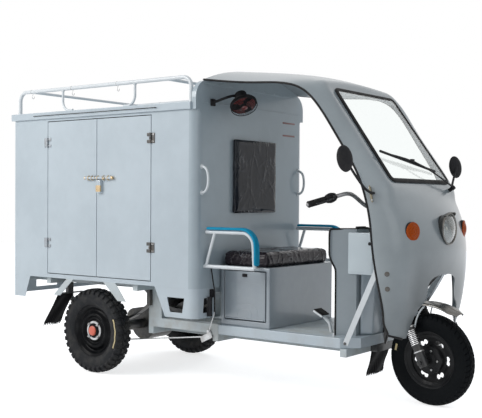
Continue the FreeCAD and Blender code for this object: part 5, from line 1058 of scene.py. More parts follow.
def swollen(thing, cap, pressure=4.0, frames=20):
    """Runs the cloth and keeps its outcome, each point's move shortened to the cap."""
    mesh = thing.data
    start = vertex_rows(mesh, "co")
    settings = thing.modifiers.new("cloth", "CLOTH").settings
    settings.quality, settings.mass = 6, 0.25
    settings.tension_stiffness = settings.compression_stiffness = 12
    settings.shear_stiffness, settings.bending_stiffness = 6, 0.4
    settings.use_pressure, settings.uniform_pressure_force = True, pressure
    settings.effector_weights.gravity = 0
    scene = bpy.context.scene
    for frame_number in range(1, frames + 1):
        scene.frame_set(frame_number)
    end = vertex_rows(thing.evaluated_get(bpy.context.evaluated_depsgraph_get()).to_mesh(), "co")
    thing.modifiers.clear()
    scene.frame_set(1)
    move = end - start
    far = np.linalg.norm(move, axis=1, keepdims=True)
    end = start + move * np.minimum(1.0, cap / np.maximum(far, 1e-9))
    mesh.vertices.foreach_set("co", end.astype(np.float32).ravel())
    mesh.update()
    print(thing.name, "swelled up to", round(float(min(far.max(), cap)) * 1000, 1), "mm")


def creases(points, seed, count, span, width, height, lean):
    """The sum of many single creases. Each has a middle, a direction that favours lean, a length and
    a width; its ridge falls off as a bell curve across it and along it."""
    rng = np.random.default_rng(seed)
    low, high = points.min(0), points.max(0)
    total = np.zeros(len(points))
    for _ in range(count):
        middle = rng.uniform(low, high)
        along = unit(rng.normal(size=3) * lean + 1e-6)
        across = unit(np.cross(along, unit(rng.normal(size=3))))
        length, thin = rng.uniform(0.4, 1.0) * span, rng.uniform(0.6, 1.4) * width
        rise = rng.uniform(0.3, 1.0) * height
        offset = points - middle
        run = offset @ along
        off = offset @ across + 0.012 * np.sin(run * rng.uniform(12, 30) + rng.uniform(0, 6))
        depth = offset @ np.cross(along, across)
        total += rise * np.exp(-(off / thin) ** 2 - (run / length) ** 2 - (depth / 0.09) ** 2)
    return total


def pad(name, node, low, high, corner, finish, cap, seams, wrinkles):
    """A cushion: rounded block, even cells, cloth pass, seams pressed in, creases raised, one
    subdivision."""
    thing = piece(name, rounded(low, high, corner, 5), finish, angle=180)
    even = thing.modifiers.new("even", "REMESH")
    even.mode, even.voxel_size = "VOXEL", 0.0055
    baked(thing)
    thing.data.materials.clear()
    thing.data.materials.append(finish)
    swollen(thing, cap)
    mesh = thing.data
    points = vertex_rows(mesh, "co").astype(float)
    points = points + vertex_rows(mesh, "normal") * (wrinkles(points) - seams(points))[:, None]
    mesh.vertices.foreach_set("co", points.astype(np.float32).ravel())
    mesh.polygons.foreach_set("use_smooth", np.ones(len(mesh.polygons), bool))
    mesh.update()
    finer = thing.modifiers.new("finer", "SUBSURF")
    finer.levels = finer.render_levels = 1
    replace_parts(thing, node)
    return thing


def cushion_seams(points):
    """A piped seam round the cushion near its upper rim, and one dip between the two places."""
    rim = 0.0035 * np.exp(-((points[:, 2] - 0.757) / 0.0035) ** 2)
    dip = 0.004 * np.exp(-(points[:, 1] / 0.012) ** 2) * step_up(points[:, 2], 0.74, 0.77)
    return rim + dip


seat_low, seat_high = at(0.891, -0.325, 0.701), at(1.202, 0.325, 0.777)
pad("seat_cushion_soft", "seat_cushion", seat_low, seat_high, 0.022, cushion_vinyl, 0.007, cushion_seams,
    lambda p: creases(p, 11, 150, 0.085, 0.0045, 0.0032, np.array([0.8, 1.2, 0.35])))
back_low, back_high = at(0.868, -0.211, 0.991), at(0.889, 0.211, 1.432)
pad("backrest_soft", "backrest_pad", back_low, back_high, 0.010, back_vinyl, 0.005,
    lambda p: 0.0015 * np.exp(-((np.abs(p[:, 1]) - 0.195) / 0.003) ** 2),
    lambda p: creases(p, 5, 60, 0.11, 0.0035, 0.0018, np.array([0.05, 0.8, 1.3])))

# %% [markdown]
# The armrest pads are foam strips that lie on the tube and round its bend. Their section is a crowned
# strip, narrower where it wraps the tube, swept along the tube's own line.

# %% Armrest foam


def foam_strip(sign):
    """The tube's line (straight, a quarter turn, down) carries a section whose top bulges as the
    cosine of the place across it."""
    y, top, front, bend, half_wide, half_tall = 0.455 * sign, 0.893, 1.208, 0.075, 0.0215, 0.0195
    middle = np.array([front - bend, top - bend])
    turn = np.linspace(0, np.pi / 2, 26)
    straight = np.column_stack([np.linspace(0.887, front - bend, 40)[:-1], np.full(39, top)])
    arc = np.column_stack([middle[0] + bend * np.sin(turn), middle[1] + bend * np.cos(turn)])
    down = np.column_stack([np.full(20, front + 0.001), np.linspace(top - bend, 0.716, 21)[1:]])
    line = np.vstack([straight, arc, down])
    run = np.gradient(line, axis=0)
    out = unit(np.stack([-run[:, 1], run[:, 0]], -1))
    angle = full_turn(36)
    wide = half_wide * np.sign(np.cos(angle)) * np.abs(np.cos(angle)) ** 0.55
    crown = 0.0012 * np.cos(wide / half_wide * np.pi / 2)
    tall = half_tall + 0.0078 * np.sign(np.sin(angle)) * np.abs(np.sin(angle)) ** 0.7 + crown
    length = np.concatenate([[0], np.cumsum(np.linalg.norm(np.diff(line, axis=0), axis=1))])
    waver = 1 + 0.018 * np.sin(length * 38 + sign) + 0.012 * np.sin(length * 91)
    ends = np.sqrt(np.clip(1 - (1 - np.minimum(length, length[-1] - length) / 0.010).clip(0) ** 2, 0.02, 1))
    share = (ends * waver)[:, None]
    lift = half_tall + (tall - half_tall) * share
    spots = at(line[:, :1] + out[:, :1] * lift, y + wide * share, line[:, 1:] + out[:, 1:] * lift)
    cap_start, cap_end = (np.broadcast_to(spots[i].mean(0), spots[i].shape)[None] for i in (0, -1))
    return grid(np.concatenate([cap_start, spots, cap_end]), wrap_v=True)


foam_pads = piece("armrest_foam", [foam_strip(-1), foam_strip(1)], foam, angle=60)
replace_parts(foam_pads, "armrest_pads")
print("soft parts ready")

# %% [markdown]
# ## Lamps, mirrors, wiper and fan
#
# Each lamp is a set of lathe shapes about one axis: housing, reflector, lens and rim.

# %% Headlamp
lamp_centre = at(2.116, 0, 0.931)


def lens_shell(radius, start, bulge, thick, power=2.0, steps=14):
    """A closed dished plate: out over the front face and back along the inner one."""
    r = np.linspace(0, radius, steps)
    front = np.column_stack([start + bulge * (1 - (r / radius) ** power), r])
    return np.vstack([front, front[::-1] - [thick, 0]])


reflector = np.column_stack([-0.038 + 0.052 * np.linspace(0.1, 1, 12) ** 2, 0.0755 * np.linspace(0.1, 1, 12)])
piece("lamp_reflector", turned(reflector, lamp_centre, AHEAD, 28), lamp_chrome, angle=8)
lamp_rim = mm((-10, 73.5), (4, 79.5), (12, 83), (19, 85), (24, 84.5), (27, 81.5), (26, 78.5), (21, 76.5), (14, 76))
rim_piece = piece("lamp_rim", turned(spline(lamp_rim, 30), lamp_centre, AHEAD, 72), pewter, angle=60)
housing = mm((-52, 0), (-52, 30), (-46, 52), (-30, 68), (-10, 73.5))
piece("lamp_housing", turned(spline(housing, 20), lamp_centre, AHEAD, 48), black_plastic, angle=60)
piece("lamp_lens", turned(lens_shell(0.0770, 0.020, 0.020, 0.0025), lamp_centre, AHEAD, 72), lens_glass, angle=60)
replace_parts(rim_piece, "headlamp")
bulb = mm((-36, 0), (-36, 10), (-20, 10), (-14, 13), (0, 13), (7, 9), (10, 0))
piece("lamp_bulb", turned(spline(bulb, 20), lamp_centre, AHEAD, 24), trim_white, angle=60)

# The hood over the lamp: a strip of a cone that reaches forward, thin, with rolled edges.
HOOD_START, HOOD_SPAN = np.radians(48), np.radians(84)
angle, reach = lattice(np.linspace(HOOD_START, HOOD_START + HOOD_SPAN, 30), np.linspace(0, 1, 8))
hood_x = 0.018 + 0.030 * reach * np.sin((angle - HOOD_START) / HOOD_SPAN * np.pi) ** 0.6
hood_r = 0.0850 + 0.004 * reach - 0.003 * reach**2
hood = lamp_centre + np.stack([hood_x, hood_r * np.cos(angle), hood_r * np.sin(angle)], -1)
thickened(piece("lamp_hood", grid(hood[:, ::-1]), pewter, angle=60), 0.0022)

# Direction lamps: a black seat and a stepped amber lens.
for side, sign in SIDE.items():
    centre, aim = at(2.074, 0.306 * sign, 0.922), unit([0.963, 0.27 * sign, 0])
    seat = mm((-26, 0), (-26, 44), (-4, 48.5), (4, 48.8), (6, 47.5), (6, 44))
    piece(f"signal_seat_{side}", turned(seat, centre, aim, 44), black_plastic, angle=30)
    rings = mm((2, 45), (8, 47.8), (12, 46.2), (14.2, 37), (13.7, 33.5), (16.7, 30.8), (18.2, 23.5), (17.4, 21.8),
               (20.2, 19), (21.2, 10), (20.4, 8.4), (22, 6.2), (22.4, 0))
    glass = piece(f"signal_lens_{side}", turned(rings, centre, aim, 44), amber, angle=35)
    if side == "right":
        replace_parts(glass, "direction_lamps")

# Tail lamps: a ribbed red lens on a black back, with a clear strip for reversing.
for side, sign in SIDE.items():
    y = (0.536 - 0.062) * sign
    low, high = at(-0.700, y - 0.050, 0.477), at(-0.682, y + 0.050, 0.543)
    piece(f"tail_back_{side}", rounded(low + [0.010, 0, 0], high, 0.004), black_plastic)
    red_block = rounded(low + [0, 0.003, 0.020], high - [0.006, 0.003, 0.003], 0.005)
    red_face = piece(f"tail_red_{side}", red_block, red_glass)
    piece(f"tail_amber_{side}", rounded(low + [0, 0.003, 0.003], high - [0.006, 0.052, 0.048], 0.004), amber)
    piece(f"tail_clear_{side}", rounded(low + [0, 0.052, 0.003], high - [0.006, 0.003, 0.048], 0.004), trim_white)
    if side == "right":
        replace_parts(red_face, "tail_lamps")
print("lamps ready")

# %% [markdown]
# A mirror's back is half an ellipsoid. Its rim rolls round to a flat glass that faces the rider.

# %% Mirrors


def oval(centre, depth, wide, tall, low, high, rounds=48, rows=16):
    """Half an ellipsoid about +x, from one angle to another: 0 is the middle of its back."""
    u, v = lattice(np.linspace(low, high, rows), full_turn(rounds))
    spots = np.stack([depth * np.cos(u), wide * np.sin(u) * np.cos(v), tall * np.sin(u) * np.sin(v)], -1)
    return grid(spots + centre, wrap_v=True)


NECK = mm((1934, 442, 1112), (1925, 462, 1114), (1915, 497, 1130),
          (1903, 556, 1186), (1892, 606, 1238), (1890, 622, 1262))
TILT = Matrix.Rotation(math.radians(9), 3, Vector((0.593, -0.805, 0)))
MIRROR_TURN = TILT @ Matrix.Rotation(math.radians(-27), 3, "Z")
for side, sign in SIDE.items():
    centre = at(1.885, 0.636 * sign, 1.276)
    middle = centre - [0.006, 0, 0]
    shell_back = oval(middle, 0.0205, 0.0445, 0.0655, 1e-3, np.pi / 2)
    lip = oval(middle, 0.0080, 0.0445, 0.0655, np.pi / 2, np.pi * 0.80, rows=8)
    shell_back, lip = (turned_about(shape, centre, MIRROR_TURN) for shape in (shell_back, lip))
    neck = tube(spline(on_side(NECK, sign), 44), 0.0065, 12)
    boss = tube(np.array([at(1.8905, 0.617 * sign, 1.250), at(1.889, 0.626 * sign, 1.268)]), 0.0105, 14)
    head = piece(f"mirror_{side}", [shell_back, lip, neck, boss], black_plastic, angle=60)
    face = oval(centre - [0.0115, 0, 0], 0.0010, 0.0410, 0.0615, np.pi / 2, np.pi - 1e-3, rows=6)
    piece(f"mirror_glass_{side}", turned_about(face, centre, MIRROR_TURN), mirror_face, angle=60)
    if side == "right":
        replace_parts(head, "mirrors")
    # The slotted plate that holds the stalk, and its two screws.
    foot_low, foot_high = at(1.930, 0.447 * sign, 1.066), at(1.912, 0.447 * sign, 1.150)
    plate_line = np.linspace(foot_low, foot_high, 12)
    grow = np.sqrt(np.clip(1 - np.linspace(-1, 1, 12) ** 6, 0.03, 1))
    plate_piece = tube(plate_line, 0.0125 * grow, 20, flat=0.32, up=[1, 0, 0.2])
    piece(f"mirror_plate_{side}", plate_piece, plate_zinc, angle=50)
    screw_spots = (foot_low + [0, 0, 0.012], foot_high - [0, 0, 0.012])
    screws = [tube(np.array([spot, spot + [0, 0.0065 * sign, 0]]), 0.0042, 10) for spot in screw_spots]
    piece(f"mirror_screws_{side}", screws, steel)
print("mirrors ready")

# %% [markdown]
# The wiper: a spindle cap, a tapering arm with its hinge, and a blade held by a bridge with claws.

# %% Wiper
spindle = at(2.011, 0.296, 1.142)
arm_tip = at(1.915, -0.035, 1.270) + SCREEN_OUT * 0.030
blade_a, blade_b = at(1.887, -0.322, 1.314) + SCREEN_OUT * 0.019, at(1.937, 0.205, 1.226) + SCREEN_OUT * 0.019
cap_profile = mm((-14, 11), (4, 11), (6, 13), (16, 13.5), (21, 12), (22.5, 8), (22.5, 0))
wiper_shapes = [turned(cap_profile, spindle, SCREEN_OUT, 28)]
arm_line = np.linspace(spindle + SCREEN_OUT * 0.014, arm_tip, 24)
arm_line = arm_line + SCREEN_OUT * (0.008 * np.sin(np.linspace(0, np.pi, 24)))[:, None]
wiper_shapes.append(tube(arm_line, np.linspace(0.0085, 0.0045, 24), 12, flat=0.5, up=SCREEN_OUT))
wiper_shapes.append(rounded(arm_tip - [0.010, 0.014, 0.008], arm_tip + [0.006, 0.014, 0.008], 0.003))
along = blade_b - blade_a
bow = np.sin(np.linspace(0, np.pi, 24))
bridge = np.linspace(blade_a + along * 0.16, blade_b - along * 0.16, 24) + SCREEN_OUT * (0.004 + 0.007 * bow)[:, None]
wiper_shapes.append(tube(bridge, 0.0032 + 0.0022 * bow, 10, flat=0.7, up=SCREEN_OUT))
for share in (0.04, 0.30, 0.70, 0.96):
    spot = blade_a + along * share
    claw = np.array([spot - unit(along) * 0.008, spot + unit(along) * 0.008])
    wiper_shapes.append(tube(claw, 0.0062, 10, flat=0.8, up=SCREEN_OUT))
lip = np.linspace(blade_a, blade_b, 30)
wiper_shapes.append(tube(lip, 0.0062, 8, flat=1.2, up=np.cross(unit(along), SCREEN_OUT)))
wiper_piece = piece("wiper_set", wiper_shapes, black_plastic, angle=45)
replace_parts(wiper_piece, "wiper")
print("wiper ready")

# %% [markdown]
# The fan: wire rings and spokes before and behind a bladed rotor, a motor pod and its clamp arm.

# %% Fan
fan_centre, fan_aim = at(1.012, -0.298, 1.618), unit([0.531, -0.317, -0.786])
fan_side = unit(np.cross(fan_aim, UP))
fan_up = np.cross(fan_side, fan_aim)


def fan_out(angle):
    """The direction away from the fan's axis at an angle."""
    return fan_side * np.cos(angle) + fan_up * np.sin(angle)


def fan_ring(radius, along, thick, count=48):
    line = fan_centre + fan_aim * along + radius * fan_out(full_turn(count)[:, None])
    return tube(line, thick, 7, closed=True, up=fan_aim)


RINGS = mm((75.5, 4, 2.4), (75.5, 24, 2.4), (56, 31, 1.2), (36, 33, 1.2))  # radius, place along the axis, thickness
cage = [fan_ring(*ring) for ring in RINGS]
FRONT_WIRE = mm((75.5, 20), (72, 27), (56, 31), (36, 33), (16, 33))
BACK_WIRE = mm((75.5, 6), (60, -4), (32, -8))
for angle in full_turn(28):
    for wire in (FRONT_WIRE, BACK_WIRE):
        cage.append(tube(fan_centre + wire[:, 1:] * fan_aim + wire[:, :1] * fan_out(angle), 0.0010, 5))
rotor = []
BLADE_REACH = 0.066
blade_r, blade_t = lattice(np.linspace(0.014, BLADE_REACH, 10), np.linspace(-0.5, 0.5, 12))
for blade_turn in 0.4 + full_turn(3):
    angle = blade_turn + blade_t * (1.5 - 0.4 * np.sin(blade_r / BLADE_REACH * np.pi)) + blade_r * 6
    lift = 0.014 + 0.008 * blade_t * np.sin(blade_r / BLADE_REACH * 2.4)
    spots = fan_centre + fan_aim * lift[..., None] + blade_r[..., None] * fan_out(angle[..., None])
    rotor.append(grid(np.concatenate([spots, (spots + fan_aim * 0.0015)[::-1]])))
pod = mm((-78, 0), (-78, 26), (-70, 35), (-36, 36.5), (-22, 38), (-10, 60), (-2, 74.5), (4, 74.5), (4, 60), (-2, 30),
         (12, 16), (20, 15), (20, 0))
piece("fan_rotor", rotor, stripe_red, slot="black_plastic")
cage.append(turned(pod, fan_centre, fan_aim, 36))
clamp_arm = spline([fan_centre - fan_aim * 0.050, fan_centre - fan_aim * 0.060 + [-0.020, -0.030, 0.006],
                    at(0.925, -0.370, 1.644), at(0.885, -0.388, 1.628), at(0.865, -0.392, 1.624)], 30)
cage.append(tube(clamp_arm, 0.0075, 12))
cage.append(rounded(at(0.8645, -0.412, 1.604), at(0.874, -0.372, 1.644), 0.004))
fan_piece = piece("fan_guard", cage, black_plastic)
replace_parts(fan_piece, "fan")
badge = mm((33.5, 17), (36, 16.5), (37.5, 14), (38, 0))
piece("fan_badge", turned(badge, fan_centre, fan_aim, 30), stripe_red)
print("fan ready")

# %% [markdown]
# ## Front mudguard, fork details and handlebar
#
# These are drawn as if steered straight ahead, then turned with the fork to where it is parked.

# %% Parked turn
AXIS_FOOT = np.array([1.239, 0, 0.242])
STEER_AXIS = np.array([-0.39073, 0, 0.9205])
PARKED = Matrix.Rotation(math.radians(-6.8), 3, Vector(STEER_AXIS))
AXLE = at(2.045, 0, 0.242)


def parked(shape):
    return turned_about(shape, AXIS_FOOT, PARKED)


def parked_all(shapes):
    return [parked(shape) for shape in shapes]


# The mudguard: an arc about the axle whose section is a shallow crown with rolled-down sides. Its
# front end flares up a little and narrows to a rounded lip.
GUARD_START, GUARD_SPAN = np.radians(103), np.radians(48)
sweep, cross = lattice(np.linspace(GUARD_START, GUARD_START - GUARD_SPAN, 48), np.linspace(-1, 1, 37))
along_share = (GUARD_START - sweep) / GUARD_SPAN
half_width = 0.054 * (1 - 0.45 * step_up(along_share, 0.80, 1.0)) * (1 - 0.12 * step_up(1 - along_share, 0.85, 1.0))
crown = 0.305 - 0.009 * np.abs(cross) ** 2.2 - 0.007 * step_up(np.abs(cross), 0.88, 1.0)
crown = crown + 0.006 * step_up(along_share, 0.8, 1.0) + 0.0025 * np.exp(-((cross / 0.10) ** 2))
across_y = half_width * np.sign(cross) * np.minimum(np.abs(cross) / 0.93, 1.0)
guard = AXLE + np.stack([crown * np.cos(sweep), across_y, crown * np.sin(sweep)], -1)
guard_piece = piece("mudguard", parked(grid(guard[:, ::-1])), pewter, "fork", 60)
baked(thickened(guard_piece, 0.0028))
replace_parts(guard_piece, "front_fender")
stays = []
for sign in (-1, 1):
    top = AXLE + [0.297 * math.cos(math.radians(94)), 0.050 * sign, 0.297 * math.sin(math.radians(94)) - 0.020]
    foot = AXLE + [-0.062, 0.074 * sign, 0.150]
    line = spline([top, top + [-0.020, 0.012 * sign, -0.030], top + [-0.030, 0.022 * sign, -0.075], foot], 24)
    stays.append(tube(line, 0.0060, 10, flat=0.6, up=AHEAD))
piece("mudguard_stays", parked_all(stays), tube_white, "fork", 60)

# Rubber gaiters, seal rings, nuts and springs on the two legs.
LEG_SIDE = 0.088
gaiters, rings, bolts, springs = [], [], [], {}
coil_turn = np.linspace(0, 2 * np.pi * 9, 260)
for side, sign in SIDE.items():
    top = AXIS_FOOT + STEER_AXIS * 0.325 + [0.008, LEG_SIDE * sign, 0]
    bottom = AXLE + [0, LEG_SIDE * sign, 0]
    down, length = unit(bottom - top), np.linalg.norm(bottom - top)
    folds = np.linspace(0, 1, 40)
    bellows = np.column_stack([length - 0.290 + 0.100 * folds, 0.0235 + 0.0042 * np.abs(np.sin(folds * np.pi * 7))])
    gaiters.append(turned(bellows, top, down, 24))
    for place, width in ((0.197, 0.008), (0.060, 0.006)):
        start, end = length - place, length - place + width
        rings.append(turned([(start, 0.0262), (start, 0.0285), (end, 0.0285), (end, 0.0262)], top, down, 28))
    bolts.append(nut(AXLE + [0, 0.119 * sign, 0], sign * LEFT, 0.0125, 0.010))
    bolts.append(turned(mm((0, 19), (3, 19), (3, 0)), AXLE + [0, 0.1155 * sign, 0], sign * LEFT, 24))
    side_a = unit(np.cross(down, LEFT))
    side_b = np.cross(down, side_a)
    round_leg = side_a * np.cos(coil_turn)[:, None] + side_b * np.sin(coil_turn)[:, None]
    coil = top + down * (0.155 + 0.082 * coil_turn / coil_turn[-1])[:, None] + 0.0245 * round_leg
    springs[side] = parked(tube(coil, 0.0034, 8))
piece("fork_gaiters", parked_all(gaiters), rubber, "fork")
piece("fork_rings", parked_all(rings), steel, "fork")
piece("spindle_nuts", parked_all(bolts), black_steel, "fork", 30, slot="steel")
for side, spring in springs.items():
    piece(f"fork_spring_{side}", spring, chrome, "fork", 60)
print("front end ready")

# %% [markdown]
# The handlebar is one bent tube through five points. Grips carry rings of small ribs, and each has a
# switch housing, a lever and its clamp beside it.

# %% Handlebar
bar_top = AXIS_FOOT + STEER_AXIS * 0.862
BENDS = mm((2, 70, 4), (-15, 196, 92), (-96, 262, 64), (-140, 400, 34))
bar_spots = {sign: bar_top + BENDS * [1, sign, 1] for sign in (-1, 1)}


def halved(spots):
    """The spots with the middle of every span between them."""
    middles = (spots[:-1] + spots[1:]) / 2
    return np.insert(spots, np.arange(1, len(spots)), middles, axis=0)


right_half, left_half = halved(bar_spots[-1][::-1]), halved(bar_spots[1])
bar_line = spline([*right_half, bar_top, left_half[0], *left_half], 120)
stem_nut = mm((-26, 0), (-26, 20), (4, 21.5), (10, 20.5), (10, 13), (17, 12), (19, 8), (19, 0))
bar_shapes = [tube(bar_line, 0.011, 18), turned(stem_nut, bar_top, STEER_AXIS, 28)]
bar_piece = piece("handlebar_tube", parked_all(bar_shapes), alloy, "fork", 50)
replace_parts(bar_piece, "handlebar")
GRIP = 0.125  # a grip's length
grip_shapes, switch_shapes, lever_shapes = [], [], []
for sign in (-1, 1):
    inner, end = bar_spots[sign][2], bar_spots[sign][3]
    direction = unit(end - inner)
    run = np.linspace(0, 1, 130)
    waves = step_up(np.sin(run * 2 * np.pi * 21), -0.2, 0.5)
    rib = 0.0010 * waves * step_up(run, 0.10, 0.13) * (1 - step_up(run, 0.90, 0.93))
    collars = 0.0035 * np.exp(-((run - 0.03) / 0.02) ** 2) + 0.0022 * np.exp(-((run - 0.97) / 0.02) ** 2)
    swell = 0.0165 + 0.0006 * np.sin(run * np.pi) + rib + collars
    tip = [(GRIP + 0.0035, 0.010), (GRIP + 0.004, 0.0)]
    profile = np.vstack([(0.0, 0.0112), np.column_stack([run * GRIP, swell]), *tip])
    start = end - direction * GRIP
    grip_shapes.append(turned(profile, start, direction, 30))
    body_line = np.array([start - direction * 0.040, start - direction * 0.003])
    body_radius = 0.021 + 0.003 * np.sin(np.linspace(0, np.pi, 8))
    switch_shapes.append(tube(np.linspace(*body_line, 8), body_radius, 20, flat=1.15))
    button = start - direction * 0.022 + [-0.019, 0, 0.008]
    switch_shapes.append(rounded(button - [0.008, 0.007, 0.005], button + [0.004, 0.007, 0.005], 0.0025))
    pivot = start - direction * 0.020 + [0.030, 0, 0.004]
    switch_shapes.append(tube(np.array([start - direction * 0.020, pivot + [0.006, 0, 0]]), 0.0115, 14, flat=0.7))
    lever_line = spline([pivot + direction * along + [ahead, 0, drop] for along, ahead, drop in
                         ((0, 0, 0), (0.030, 0.016, 0), (0.085, 0.018, -0.002), (0.128, 0.012, -0.002))], 26)
    lever_radius = np.concatenate([np.linspace(0.0066, 0.0048, 23), [0.0058, 0.0064, 0.0058]])
    lever_shapes.append(tube(lever_line, lever_radius, 12, flat=0.6, up=UP))
grip_piece = piece("grips_ribbed", parked_all(grip_shapes), rubber, "fork", 50)
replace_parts(grip_piece, "grips")
piece("switches", parked_all(switch_shapes), black_plastic, "fork", 45)
piece("levers", parked_all(lever_shapes), black_steel, "fork", 50)
print("handlebar ready")

# %% [markdown]
# ## Box furniture
#
# Hinges with their screws, the brass bolt with its padlock, door seals, stripes, hooks and rack feet.

# %% Hinges
SIDE_FACE, REAR_FACE = -0.536, -0.682  # y of the box's right face, x of its rear face
HINGE_HEIGHTS = {"low": 0.795, "high": 1.427}
NEAR_PIN, LEAF_END = 0.002, 0.030  # a leaf's reach beside its pin
SCREW_STEPS, SCREW_REACH = (-0.020, 0.020), (0.012, 0.023)


def screw_heads(spots, normal, radius, height=0.0016):
    """Domed screw heads at several places, all facing the same way."""
    dome = [(0.0, radius), (height * 0.6, radius * 0.92), (height, radius * 0.55), (height * 1.1, 0.0)]
    return [turned(dome, spot, normal, 10) for spot in spots]


def leaf(x, away, middle, half):
    """A hinge's plate on the right face, beside a pin at x."""
    low, high = sorted((x + away * NEAR_PIN, x + away * LEAF_END))
    return rounded(at(low, SIDE_FACE - 0.0042, middle - half), at(high, SIDE_FACE + 0.001, middle + half), 0.0018, 3)


def knuckle(x, middle, half, shoulder):
    """A hinge's barrel round its upright pin, a little narrower at both ends."""
    line = [(-half, 0.0), (-half, 0.0056), (-shoulder, 0.0066), (shoulder, 0.0066), (half, 0.0056), (half, 0.0)]
    return turned(line, at(x, SIDE_FACE - 0.007, middle), UP, 20)


for end, x, away, finish in (("rear", -0.3615, 1, hinge_grey), ("front", 0.5275, -1, hinge_dark)):
    door, wall_screw = f"side_door_{end}", steel if end == "front" else finish
    for label, height in HINGE_HEIGHTS.items():
        levels = [height + step for step in SCREW_STEPS]
        door_leaf = [shape for z in levels for shape in (leaf(x, away, z, 0.0095), knuckle(x, z, 0.0098, 0.0088))]
        wall_leaf = [leaf(x, -away, height, 0.0290), knuckle(x, height, 0.0088, 0.0080)]
        piece(f"hinge_door_{end}_{label}", door_leaf, finish, door, 35)
        piece(f"hinge_wall_{end}_{label}", wall_leaf, finish, angle=35)
        for name, way, radius, look, body in (("screws", away, 0.0030, finish, door),
                                              ("wall_screws", -away, 0.0034, wall_screw, "chassis")):
            spots = [at(x + way * reach, SIDE_FACE - 0.0040, z) for z in levels for reach in SCREW_REACH]
            piece(f"hinge_{name}_{end}_{label}", screw_heads(spots, -LEFT, radius), look, body, 30)
print("side hinges ready")

# %% [markdown]
# The bolt: a long plate with straps over a round bar, a staple, and a padlock that hangs from it. It is
# split where the doors meet, so each half rides on its own door.

# %% Bolt and padlock
BOLT_Y, BOLT_Z = -0.548, 1.200
PLATE_FACE, PLATE_BACK, PLATE_HALF = -0.5405, -0.5350, 0.014


def bolt_plate(rear, front):
    return rounded(at(rear, PLATE_FACE, BOLT_Z - PLATE_HALF), at(front, PLATE_BACK, BOLT_Z + PLATE_HALF), 0.002, 3)


def bolt_bar(rear, front, radius):
    return tube(np.array([at(rear, BOLT_Y, BOLT_Z), at(front, BOLT_Y, BOLT_Z)]), radius, 18)


def strap(x):
    """A flat band bent over the bar."""
    bow = np.linspace(-0.15 * np.pi, 1.15 * np.pi, 14)
    line = at(x, PLATE_FACE - 0.0145 * np.sin(bow).clip(-0.1, 1), BOLT_Z + 0.0105 * np.cos(bow))
    return tube(line, 0.0055, 8, flat=0.35, up=AHEAD)


knob = mm((0, 0), (0, 9.5), (6, 10.5), (11, 8.5), (12, 0))
staple = np.array([at(0.170, BOLT_Y - 0.006, BOLT_Z), at(0.170, BOLT_Y - 0.019, BOLT_Z - 0.003)])
front_parts = [bolt_plate(0.0895, 0.202), bolt_bar(0.088, 0.222, 0.0078), *map(strap, (0.103, 0.150, 0.190)),
               turned(knob, at(0.220, BOLT_Y, BOLT_Z), AHEAD, 20), tube(staple, 0.0042, 10)]
piece("bolt_front", front_parts, brass, "side_door_front")
end_cap = mm((0, 0), (0, 8.5), (5, 9.5), (8, 0))
rear_parts = [bolt_plate(0.010, 0.067), *map(strap, (0.024, 0.054)), bolt_bar(-0.002, 0.074, 0.0072),
              turned(end_cap, at(-0.002, BOLT_Y, BOLT_Z), -AHEAD, 20)]
piece("bolt_rear", rear_parts, brass, "side_door_rear")
for body, xs in (("side_door_front", (0.097, 0.127, 0.172, 0.197)), ("side_door_rear", (0.015, 0.039, 0.063))):
    spots = [at(x, -0.5402, BOLT_Z + step) for x in xs for step in (-0.0105, 0.0105)]
    piece(f"bolt_screws_{body}", screw_heads(spots, -LEFT, 0.0024), steel, body, 30)
LOCK_X, SHACKLE_Y, SHACKLE_HALF = 0.113, -0.553, 0.013
bow = np.linspace(0, np.pi, 16)
shackle = np.vstack([at(LOCK_X - SHACKLE_HALF, SHACKLE_Y, 1.150),
                     at(LOCK_X - SHACKLE_HALF * np.cos(bow), SHACKLE_Y, 1.172 + SHACKLE_HALF * np.sin(bow)),
                     at(LOCK_X + SHACKLE_HALF, SHACKLE_Y, 1.150)])
piece("padlock_shackle", tube(shackle, 0.0032, 12), chrome, "side_door_front", 50, slot="steel")
keyhole = turned(mm((0, 6.5), (1.2, 6), (1.5, 0)), at(LOCK_X, -0.560, 1.131), -LEFT, 20)
lock = rounded(at(0.0935, -0.5600, 1.116), at(0.1325, -0.5440, 1.156), 0.0055, 5)
piece("padlock_body", [lock, keyhole], brass, "side_door_front")
print("bolt ready")

# %% [markdown]
# Seals line the door gaps. Two dark stripes cross the front face, and a folded crease runs across
# it at the height of the roof lip.

# %% Trim of the box
DOOR_ENDS = (-0.362, 0.528)
SEAL_Y, SEAL_FOOT, SEAL_TOP = -0.5255, 0.602, 1.560
runs = [(at(x, SEAL_Y, SEAL_FOOT), at(x, SEAL_Y, SEAL_TOP)) for x in DOOR_ENDS]
runs.append([at(x, SEAL_Y, SEAL_TOP + 0.0005) for x in DOOR_ENDS])
strips = [tube(np.linspace(*run, 12), 0.0022, 8) for run in runs]
piece("seal_side", strips, rubber, angle=60)
for place, z in (("high", 1.559), ("low", 1.480)):
    stripe = rounded(at(0.8630, 0.306, z - 0.0055), at(0.8652, 0.441, z + 0.0055), 0.0010, 3)
    piece(f"stripe_{place}", stripe, stripe_red)
crease_line = at(0.8645, np.linspace(-0.484, 0.484, 60), 1.6195)
piece("front_crease", tube(crease_line, 0.0034, 8, flat=0.45, up=UP), box_paint, angle=60)
gutter_line = at(np.linspace(-0.477, 0.581, 40), -0.5555, 1.5975)
piece("gutter_seal", tube(gutter_line, 0.0028, 8), rubber, angle=60)
print("box trim ready")

# %% [markdown]
# Small wire hooks hang from the rack's rails: each is an S-shaped line swept with a thin round section.

# %% Hooks, rack feet and rear doors


